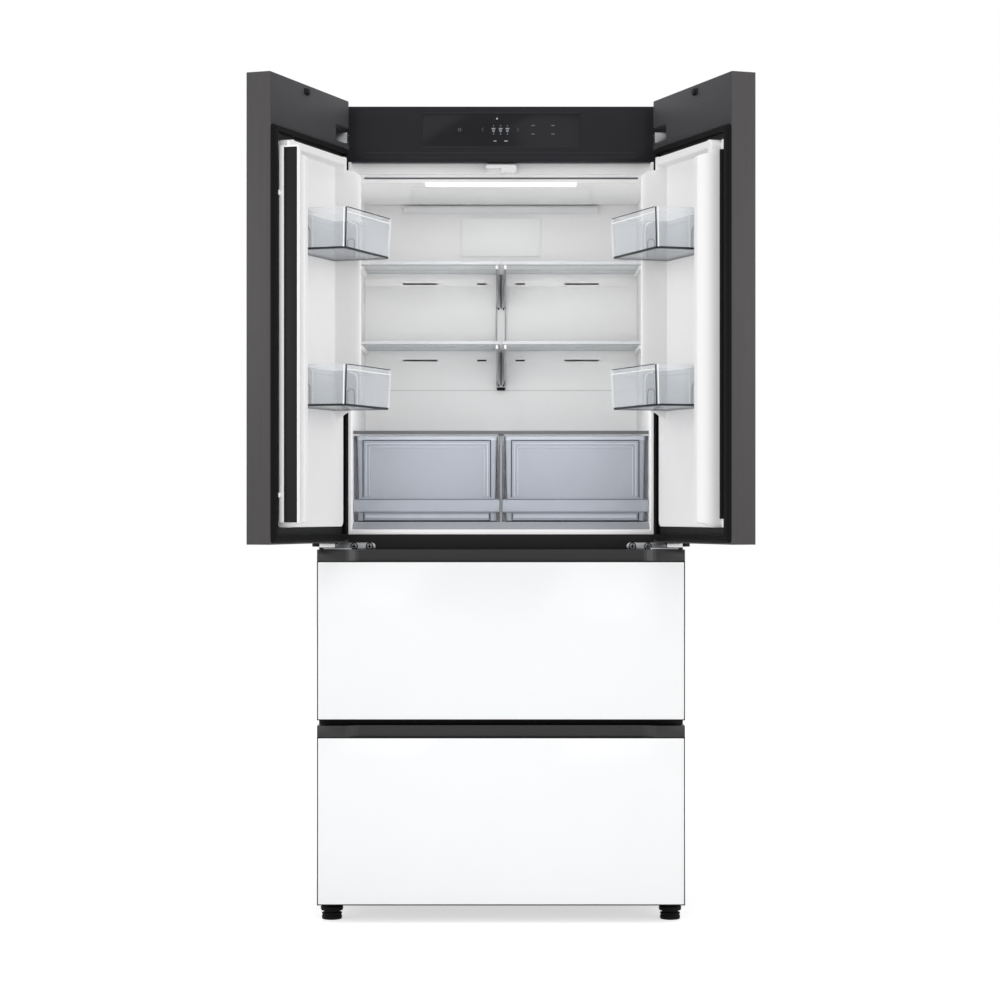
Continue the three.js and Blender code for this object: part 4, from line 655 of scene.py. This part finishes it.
def drawer_seal(level):
    """Gasket ring around the drawer's opening."""
    bm = bmesh.new()
    *_, z0, z1 = span(f"{level}_drawer_front")
    below, above = DRAWER_SILLS[level]
    outline = rectangle(-DRAWER_SEAL_HALF, DRAWER_SEAL_HALF, z0 + below - 11, z1 - above + 10, 5, 4)
    sweep(bm, [(a, 0, b) for a, b in outline], DRAWER_SEAL_PROFILE, up=(0, 1, 0))
    return bm


for level in LEVELS:
    piece(f"{level}_drawer_shell", drawer_front(level), [DRAWER_TRIM, DEEP_BLACK], f"{level}_drawer",
          replaces=[f"{level}_drawer_front"])
    piece(f"{level}_drawer_gasket", drawer_seal(level), RUBBER, f"{level}_drawer")

# ---- Feet -------------------------------------------------------------------------------------
FOOT = {"x": 387, "y": 8, "nut": 25, "ribs": 12, "rib": (22.4, 28.6)}
FOOT_PROFILE = [  # radius and height of the disc, the nut's two rings and the stem
    (0.2, 0), (20, 0), (22.4, 0.8), (23, 2.5), (23, 8), (21.5, 9.5), (21.5, 11), (23, 12.2), (23, 15),
    (18, 16.5), (18, 19), (24.6, 20.5), (25, 22), (25, 29), (24, 30.5), (20, 31.5), (20, 34), (24.6, 35.2),
    (24.8, 41.2), (23.5, 41.9), (5, 41.9), (5, 59), (4.2, 60), (0.2, 60),
]
for side, mirror in SIDES:
    bm = bmesh.new()
    turned(bm, FOOT_PROFILE, "z", (-FOOT["x"], FOOT["y"]), 40)
    for t in (2 * math.pi * k / FOOT["ribs"] for k in range(FOOT["ribs"])):  # for turning it by hand
        x, y = FOOT["nut"] * math.cos(t) - FOOT["x"], FOOT["nut"] * math.sin(t) + FOOT["y"]
        tube(bm, [(x, y, z) for z in FOOT["rib"]], 0.8, 6)
    piece(f"{side}_foot_shell", bm, DEEP_BLACK, f"{side}_levelling_foot", CASE, mirror, [f"{side}_foot"])

# ---- Rear details -----------------------------------------------------------------------------
x0, x1, _, rear, z0, z1 = span("back_panel")
BEADS = {"x": (-300, -150, 0, 150, 300), "half": 9, "rise": 2.4, "end": 110}
BEAD_ARC = [
    (BEADS["half"] * math.cos(t), BEADS["rise"] * math.sin(t)) for t in (math.pi * k / 8 for k in range(9))
]
bm = bmesh.new()
for x in BEADS["x"]:
    prism(bm, [(x + a, rear - 0.2 + b) for a, b in BEAD_ARC], "z", z0 + BEADS["end"], z1 - BEADS["end"], 0.8)
piece("back_panel_beads", bm, CASE_STEEL, "cabinet")


def cross(bm, x, z, arm, width, y0, y1):
    """Cross of two dark bars on a screw's head: painted shade of its cross recess."""
    for across, up in ((arm, width), (width, arm)):
        block(bm, x - across / 2, x + across / 2, y0, y1, z - up / 2, z + up / 2, 0.1, 1, 1)


def screw(bm, x, z, face, radius=4.2):
    """Pan-head screw on the rear."""
    profile = ((radius, -0.3), (radius, 0.9), (radius * 0.75, 1.9), (radius * 0.3, 2.2), (0.2, 2.2))
    turned(bm, [(r, face + t) for r, t in profile], "y", (x, z), 20)
    cross(bm, x, z, radius * 1.1, 0.9, face + 1.9, face + 2.3)


SCREW_INSET = {"side": 16, "end": 30, "cover_low": 14, "cover_high": 12}
bm = bmesh.new()
margin, end = SCREW_INSET["side"], SCREW_INSET["end"]
for z in [z0 + end + (z1 - z0 - 2 * end) * k / 5 for k in range(6)]:
    for x in (x0 + margin, x1 - margin):
        screw(bm, x, z, rear)
for x in (-225, -75, 75, 225):
    screw(bm, x, z1 - margin, rear)
x0, x1, _, rear, z0, z1 = span("machine_room_cover")
for x in (x0 + margin, -120, 120, x1 - margin):
    for z in (z0 + SCREW_INSET["cover_low"], z1 - SCREW_INSET["cover_high"]):
        screw(bm, x, z, rear)
piece("rear_screws", bm, [ZINC, DEEP_BLACK], "cabinet")

# ---- Crispers ---------------------------------------------------------------------------------
CRISPER = {"x": (7.6, 335.2), "y": (66, 430), "z": (907.8, 1106.1), "wall": 3, "corner": 8}
GRIP = {"z": (929.8, 960.8), "lines": (959.9, 930.7), "panel_foot": 962}


def crisper():
    """Tinted tray with a framed front and a grip band, open at the top."""
    bm = bmesh.new()
    x0, x1 = CRISPER["x"]
    y0, y1 = CRISPER["y"]
    z0, z1 = CRISPER["z"]
    wall, corner = CRISPER["wall"], CRISPER["corner"]

    def ring(inset, z):
        return [(x, y, z) for x, y in rectangle(x0 + inset, x1 - inset, y0 + inset * 0.3, y1 - inset, corner)]

    rows = [
        ring(5.5, z0), ring(4.2, z0 + 0.6), ring(3.6, z0 + 3), ring(0.6, z1 - 9), ring(0, z1 - 8),
        ring(0, z1 - 0.8), ring(0.6, z1), ring(wall + 1.4, z1), ring(wall + 2, z1 - 0.8),
        ring(wall + 2, z1 - 8), ring(wall + 0.6, z1 - 9), ring(3.6 + wall, z0 + 4), ring(5 + wall, z0 + 3),
    ]
    # the two lowest bands are painted shade along the tray's foot
    indices = [DARK, DARK, WALL, RIM, RIM, RIM, RIM, RIM, RIM, WALL, WALL, RIM]
    loops = [loop_verts(bm, row) for row in rows]
    for first, second, index in zip(loops, loops[1:], indices):
        bridge(bm, first, second, index)
    for loop in (loops[0], loops[-1]):
        bm.faces.new(loop).material_index = WALL
    inner, outer = x0 + 16.5, x1 - 16
    face, proud, sunk = y0 - 0.2, y0 - 1.1, y0 + 1.2
    # bevelled frame around the front panel; its outer line is painted shade
    for inset, low, high, half, index in (
        (0, 965, z1 - 9.5, 1.0, DARK), (7, 967, z1 - 17, 1.5, RIM), (15, 969, z1 - 25, 1.2, RIM),
    ):
        left, right = inner + inset, outer - inset
        for x in (left, right):
            block(bm, x - half, x + half, proud, sunk, low, high, 0.5, index, 1)
        block(bm, left, right, proud, sunk, high - half, high + half, 0.5, index, 1)
    # painted shade line down each front corner
    for x, lean in ((x0 + 1.2, 3.3), (x1 - 1.2, -3.3)):  # dark line down each front corner
        tube(bm, [(x, y0 + 1.2, z1 - 2), (x + lean, y0 + 2, GRIP["panel_foot"])], 0.8, 6, DARK)
    low, high = GRIP["z"]
    lip = [
        (0.4, high), (-7, high), (-9.4, high - 1.6), (-10, high - 4.8), (-9.6, 936), (-8.2, 931), (-6, low),
        (-4.6, 931), (-6.2, 937), (-6.6, 955), (-5.2, 957.6), (0.4, 957.8),
    ]
    band = (x0 - 4, x1 + 4.2)
    prism(bm, [(y0 + y, z) for y, z in lip], "x", *band, 0.4, WALL)
    # painted shade lines across the grip band
    for z in GRIP["lines"]:
        block(bm, *band, y0 - 9.9, y0 - 7.4, z - 0.55, z + 0.55, 0.3, DARK, 1)
    # frame of the panel's foot under the grip; its dark bars are painted shade lines
    for x in (inner + 1.5, outer - 1.5):
        block(bm, x - 1.1, x + 1.1, face - 1, sunk, z0 + 3, 929, 0.5, DARK, 1)
    block(bm, inner + 2, outer - 2, face - 1, face + 1.8, z0 + 1.4, z0 + 4, 0.6, DARK, 1)
    block(bm, inner + 5, outer - 5, face - 0.8, sunk, z0 + 9, z0 + 18, 0.8, RIM, 1)
    return bm


for side, mirror in SIDES:
    piece(f"{side}_crisper_tray_shell", crisper(), [BLUE_CLEAR, BLUE_EDGE, BLUE_SHADE_LINES], f"{side}_crisper_tray",
          CASE, not mirror, [f"{side}_crisper"], 40)

# ---- Shelf trims ------------------------------------------------------------------------------
for side, _ in SIDES:
    for level in ("lower", "upper"):
        x0, x1, y0, y1, z0, z1 = span(f"{level}_shelf_{side}")
        bm = bmesh.new()
        block(bm, x0, x1, y0 - 2.2, y0 + 9, z0 - 0.2, z1 + 0.9, 0.6)
        block(bm, x0 + 0.5, x1 - 0.5, y0 - 1.8, y0 + 2, z0 - 1.2, z0 + 0.1, 0.3, 1)
        block(bm, x0 + 5, x1 - 5, y1 - 11, y1 - 0.2, z0 - 0.2, z1 + 3.5, 0.8)
        piece(f"{side}_{level}_shelf_trim", bm, [GREY_PLASTIC, VENT_DARK], "cabinet")
x0, x1, y0, y1, z0, z1 = span("crisper_cover")
bm = bmesh.new()
block(bm, x0, x1, y0 - 1.5, y0 + 7, z0 - 0.2, z1 + 0.4, 0.5)
piece("crisper_cover_trim", bm, VENT_DARK, "cabinet")

# ---- Compartment details ----------------------------------------------------------------------
BACK_WALL = 449.95  # the back wall's face
CEILING = (1687.4, 1688.9)  # foot and top of what lies on the ceiling
LAMP_HALF = 174


def fitting(name, bm, entry):
    """A piece of the compartment that doesn't move."""
    return piece(name, bm, entry, "cabinet")


bm = bmesh.new()
block(bm, -LAMP_HALF, LAMP_HALF, 43.4, 44.9, CEILING[0], 1690.6, 0.5)
block(bm, -LAMP_HALF, LAMP_HALF, 44, 95, 1687.0, CEILING[1], 0.5)
fitting("lamp_lens", bm, LAMP)
bm = bmesh.new()
prism(bm, rounded([(-205, 120), (205, 120), (225, 430), (-225, 430)], 12), "z", *CEILING, 0.5)
fitting("ceiling_panel", bm, INNER_WHITE)
bm = bmesh.new()
prism(bm, [(450, 1684), (434, 1684), (432, 1679), (440, 1668.5), (449.9, 1668)], "x", -240, 240, 0.8)
fitting("air_outlet_bar", bm, RAIL_GREY)
AIR_OUTLET = {  # half width, heights, corner, depths, rim and material of each layer
    "plate": (96, (1561.7, 1654.5), 3, (442, 447.6), 0.8, PLATE_WHITE),
    "neck": (92, (1565, 1651), 3, (447.4, BACK_WALL), 0.2, RISER_GREY),
    "frame": (101, (1557.2, 1656), 5, (448.6, 449.96), 0.5, PLATE_WHITE),
}
for layer, (half, heights, corner, depths, edge, entry) in AIR_OUTLET.items():
    bm = bmesh.new()
    prism(bm, rectangle(-half, half, *heights, corner), "y", *depths, edge)
    fitting(f"air_outlet_{layer}", bm, entry)
# thin dark sheet across the front face above the lamp: a painted shadow line for the gap there
bm = bmesh.new()
prism(bm, rectangle(-316, 316, 1697.8, 1702, 2), "y", 44.78, 44.98, 0.05)
fitting("lamp_gap_painted_shadow", bm, VENT_DARK)
bm = bmesh.new()
block(bm, -320, 320, 449.3, BACK_WALL, 1230.1, 1231.3, 0.2)
fitting("back_wall_seam", bm, GREY_PLASTIC)

# ---- Rail, brackets and floor riser -----------------------------------------------------------
SHELF_UNDERSIDES = (1327.8, 1516.8)
RAIL_FACE, RAIL_BACK = 441, 449.8
BRACKET = {"front": 206.5, "back": 440.6, "foot": 84}  # the foot lies that far below the shelf


def both_sides(inner, outer):
    """Ranges in x at the left and right of the middle."""
    return (-outer, -inner), (inner, outer)


bm = bmesh.new()
for z in SHELF_UNDERSIDES:
    front, back = BRACKET["front"], BRACKET["back"]
    edge = [(front, z - 9.6), (back, z - 85), (back, z - 80.5), (front, z - 5)]
    for x_range in both_sides(7.9, 12.1):
        prism(bm, edge, "x", *x_range, 0.5)
piece("bracket_edges", bm, CHROME, "cabinet")
bm = bmesh.new()
for z in SHELF_UNDERSIDES:
    for x_range in both_sides(7.4, 12.6):
        block(bm, *x_range, 203.6, 212, z - 10.4, z - 0.6, 1.0)
fitting("bracket_tips", bm, WHITE_PLASTIC)
bm = bmesh.new()
for z in SHELF_UNDERSIDES:
    foot = z - BRACKET["foot"]
    block(bm, -1.2, 1.2, RAIL_FACE - 4.5, RAIL_FACE, foot, z - 2, 0.5)
    for x_range in both_sides(4.2, 7.8):
        block(bm, *x_range, RAIL_FACE - 5, RAIL_FACE, foot - 4, foot + 1, 1.0)
# dark strips along the rail's two sides: painted shade of its side faces
for x_range in both_sides(9.7, 10.5):
    block(bm, *x_range, 440.4, RAIL_BACK, 1236, 1515, 0.2)
prism(bm, rectangle(-10.6, 10.6, 1230.2, 1238, 4), "y", 439.6, RAIL_BACK, 0.6)
piece("rail_black_parts_and_side_shade", bm, BLACK_PLASTIC, "cabinet")
# grey sheet over the floor's front slope: painted shade, as the slope lies in shade
bm = bmesh.new()
prism(bm, [(15, 890.9), (39.2, 907.3), (38.4, 907.5), (15, 892.2)], "x", -341, 341, 0.2)
fitting("floor_riser_painted_shade", bm, RISER_GREY)
bm = bmesh.new()
block(bm, -2.4, 2.4, 66, 120, 908, 1110.8, 0.8)
for x_range in both_sides(2.2, 3.2):  # dark lines down the divider's front
    block(bm, *x_range, 65.6, 67.5, 962, 1106, 0.3, 1, 1)
block(bm, -6.5, 6.5, 64.5, 76, 1106.5, 1111, 0.8, 1)
fitting("crisper_divider", bm, [RISER_GREY, VENT_DARK])

# ---- Display marks: generic dots, dashes, arrows and level bars -------------------------------
FOCAL = 2449  # camera's focal length in the photograph's pixels
EYE = {"distance": 5600, "height": 935, "x": 501, "y": 510.2}
GLASS_FACE = span("display_glass")[2]
MARK_FACE, MARK_BACK = GLASS_FACE - 0.12, GLASS_FACE + 0.05


def on_front(px, py, depth=0):
    """Case x and z of a pixel of the photograph on a plane behind the case's front."""
    scale = (EYE["distance"] + depth) / FOCAL
    return (px - EYE["x"]) * scale, EYE["height"] + (EYE["y"] - py) * scale


def mark(bm, px, py, width, height, index=0):
    """Bar on the display: 0 bright, 1 dim."""
    x, z = on_front(px, py)
    across, up = width / 2, height / 2
    block(bm, x - across, x + across, MARK_FACE, MARK_BACK, z - up, z + up, 0.04, index, 1)


bm = bmesh.new()
turned(bm, [(2.2, MARK_FACE), (2.2, MARK_BACK)], "y", on_front(497, 118.6), 16)
x, z = on_front(459.6, 129.6)
RING = {"outer": 3.6, "inner": 2.5, "sides": 20}
section = [(RING["outer"], MARK_BACK), (RING["outer"], MARK_FACE), (RING["inner"], MARK_FACE)]
section.append((RING["inner"], MARK_BACK))
angles = [2 * math.pi * k / RING["sides"] for k in range(RING["sides"])]
loft(bm, [[(x + r * math.cos(t), y, z + r * math.sin(t)) for t in angles] for r, y in section], 1, True)
for px, way in ((482.5, -1), (518, 1)):  # arrows
    x, z = on_front(px, 129.5)
    for up in (-1, 1):
        tip, wing = (x + way * 1.8, z), (x - way * 1.8, z + up * 4.2)
        stroke = [tip, (tip[0] - way, tip[1]), (wing[0] - way * 0.6, wing[1]), (wing[0] + way * 0.4, wing[1])]
        prism(bm, stroke, "y", MARK_FACE, MARK_BACK, 0, 1)
for px in (493.5, 500.6, 507.4):  # level bars
    mark(bm, px, 125.8, 1.6, 1.6)
    for py, width in ((128.4, 9), (130.0, 6.4), (131.5, 5.0)):
        mark(bm, px, py, width, 1.7)
    mark(bm, px, 133.9, 1.6, 2.2)
mark(bm, 495, 141, 6.4, 2.4)
mark(bm, 506, 141, 7.2, 2.4)
for px in (533, 553):
    for py in (125.5, 134):
        mark(bm, px, py, 7.6, 2.2, 1)
piece("display_marks", bm, [MARK, MARK_DIM], "cabinet")

bm = bmesh.new()
x0, x1, y0, _, z0, z1 = span("display_glass")
depths = (y0 - 0.15, y0 + 0.3)
for z in (z0 - 0.5, z1 + 0.5):
    block(bm, x0, x1, *depths, z - 0.45, z + 0.45, 0.1)
# painted highlight lines along the foot of the panel
for py, half in ((152.8, 0.5), (157.6, 0.4)):  # fine lines along the foot of the panel
    (x0, z), (x1, _) = on_front(366, py), on_front(635, py)
    block(bm, x0, x1, *depths, z - half, z + half, 0.1, 0, 1)
piece("display_border", bm, PANEL_LINE, "cabinet")

# ---- Folding mullion --------------------------------------------------------------------------
MULLION = DOOR @ Matrix.Translation((371.5, 54.5, 0))
MULLION_SIDE = -1.95  # the side that faces the camera with the door open
bm = bmesh.new()
block(bm, MULLION_SIDE, -1.45, 0.5, 11, 909.4, 1705.6, 0.15)
block(bm, -15.2, -1.6, 0.2, 43.8, 1699, 1706.3, 1.2)
piece("mullion_white_trim", bm, INNER_WHITE, "mullion_bar", MULLION)
bm = bmesh.new()
block(bm, MULLION_SIDE, -1.5, 11.3, 41.6, 909.2, 1702.5, 0.15)
piece("mullion_face", bm, BLACK_PLASTIC, "mullion_bar", MULLION)

# ---- Lower hinge hardware ---------------------------------------------------------------------
BOLT_PROFILE = [(6.4, -3.2), (6.6, -3.8), (6.6, -5.2), (5.8, -6.2), (4.2, -6.4), (3.6, -5.0), (0.1, -4.6)]
BOLT_RING = [(8.8, -3.1), (8.8, -3.9), (6.5, -3.9), (6.5, -3.1)]
for side, mirror in SIDES:
    bm = bmesh.new()
    for px in (354.2, 369.6):
        x, z = on_front(px, 546.3)
        turned(bm, BOLT_PROFILE, "y", (x, z), 24)
        turned(bm, BOLT_RING, "y", (x, z), 24, 1)
        cross(bm, x, z, 10.0, 2.4, -6.45, -6.2)
    piece(f"{side}_lower_hinge_bolts", bm, [ZINC, DEEP_BLACK], "cabinet", CASE, mirror)
    bm = bmesh.new()
    x0, z0 = on_front(317.5, 547.4, HINGE[1])
    x1, z1 = on_front(335, 543.4, HINGE[1])
    block(bm, x0, x1, HINGE[1] - 10, HINGE[1] + 10, z0, z1 - 0.4, 1.0)
    piece(f"{side}_lower_hinge_bush", bm, PLATE_WHITE, "cabinet", CASE, mirror)

# ---- Free-edge strip of the right door --------------------------------------------------------
bm = bmesh.new()
block(bm, 377.1 - DOOR_SIDE, 379 - DOOR_SIDE, DOOR_BACK + 0.3, DOOR_BACK + 11.5, 917, 1700, 0.4)
piece("right_door_recess", bm, BLACK_PLATE, "right_door", DOOR, True)
bm = bmesh.new()
for z0, z1 in ((898.5, 916.5), (1700.5, 1721.5)):
    block(bm, 376 - DOOR_SIDE, 385 - DOOR_SIDE, DOOR_BACK + 0.3, DOOR_BACK + 7, z0, z1, 1.5)
piece("right_liner_tabs", bm, WHITE_PLASTIC, "right_door", DOOR, True)

# ---- Stage, light and camera ------------------------------------------------------------------
WHITE = (1, 1, 1, 1)
AMBIENT = 0.55  # the world's strength on the object; its background shows at 1
FLOOR_SHADE, FLOOR_GLOW = 0.85, 0.6
FLOOR_HALF, FLOOR_FRONT, FLOOR_REAR = 9, -9, 14  # metres
FRONT_POWER, SIDE_POWER, TOP_POWER = 22.3, 53, 24  # watts
scene = bpy.context.scene
scene.view_settings.view_transform = "Standard"


def background_rays(nodes, links):
    """Output that is 1 for camera, transmission and glossy rays, which all show the white background."""
    path = nodes.new("ShaderNodeLightPath")
    total = path.outputs["Is Camera Ray"]
    for name in ("Is Transmission Ray", "Is Glossy Ray"):
        either = nodes.new("ShaderNodeMath")
        either.operation = "MAXIMUM"
        links.new(total, either.inputs[0])
        links.new(path.outputs[name], either.inputs[1])
        total = either.outputs[0]
    return total


world = bpy.data.worlds.new("studio")
scene.world = world
world.use_nodes = True
nodes, links = world.node_tree.nodes, world.node_tree.links
background = nodes["Background"]
strength = nodes.new("ShaderNodeMapRange")
strength.inputs["To Min"].default_value = AMBIENT
strength.inputs["To Max"].default_value = 1.0
links.new(background_rays(nodes, links), strength.inputs["Value"])
links.new(strength.outputs["Result"], background.inputs["Strength"])
background.inputs["Color"].default_value = WHITE

floor_material = bpy.data.materials.new("floor")
floor_material.use_nodes = True
nodes, links = floor_material.node_tree.nodes, floor_material.node_tree.links
shader = nodes["Principled BSDF"]
shader.inputs["Base Color"].default_value = (FLOOR_SHADE, FLOOR_SHADE, FLOOR_SHADE, 1)
shader.inputs["Roughness"].default_value = 0.9
shader.inputs["Emission Color"].default_value = WHITE
lift = nodes.new("ShaderNodeMath")
lift.operation = "MULTIPLY"
lift.inputs[1].default_value = FLOOR_GLOW
links.new(background_rays(nodes, links), lift.inputs[0])
links.new(lift.outputs[0], shader.inputs["Emission Strength"])
mesh = bpy.data.meshes.new("floor")
corners = rectangle(-FLOOR_HALF, FLOOR_HALF, FLOOR_FRONT, FLOOR_REAR)
mesh.from_pydata([(x, y, 0) for x, y in corners], [], [(0, 1, 2, 3)])
mesh.materials.append(floor_material)
floor = bpy.data.objects.new("floor", mesh)
scene.collection.objects.link(floor)


def softbox(name, place, target, width, height, power, glossy=True):
    """Soft area lamp; place and target in metres."""
    data = bpy.data.lights.new(name, "AREA")
    data.shape = "RECTANGLE"
    data.size, data.size_y = width, height
    data.energy = power
    made = bpy.data.objects.new(name, data)
    made.location = place
    made.visible_camera = False
    made.visible_glossy = glossy
    made.rotation_euler = (Vector(target) - Vector(place)).to_track_quat("-Z", "Y").to_euler()
    scene.collection.objects.link(made)


for side, reach in (("left", -1), ("right", 1)):
    softbox(f"front_{side}", (reach * 2.1, -5.1, 1.6), (0, 0, 1.1), 1.7, 3.0, FRONT_POWER)
for side, reach in (("left", -1), ("right", 1)):
    softbox(f"side_{side}", (reach * 4.0, -2.8, 1.7), (0, 0, 1.2), 2.0, 2.4, SIDE_POWER)
softbox("top", (0, -1.6, 4.2), (0, 0, 1.0), 3.0, 1.6, TOP_POWER)
softbox("lamp", (0, CASE_FRONT + 0.03, 1.675), (0, CASE_FRONT + 0.12, 1.0), 0.6, 0.04, 0.6)
for side, reach in (("left", -1), ("right", 1)):
    softbox(f"door_fill_{side}", (reach * 0.02, -0.36, 1.36), (reach, -0.40, 1.36), 0.25, 0.78, 0.26, False)
softbox("compartment", (0, CASE_FRONT - 0.06, 1.22), (0, CASE_FRONT + 0.4, 1.20), 0.6, 0.6, 0.85, False)

camera = bpy.data.cameras.new("camera")
camera.lens = 88.16
camera.sensor_width = 36
camera.shift_x = -0.001
camera.shift_y = 0.0102
view = bpy.data.objects.new("camera", camera)
view.location = (0, CASE_FRONT - EYE["distance"] * MM, EYE["height"] * MM)
view.rotation_euler = (math.radians(90), 0, 0)
scene.collection.objects.link(view)
scene.camera = view
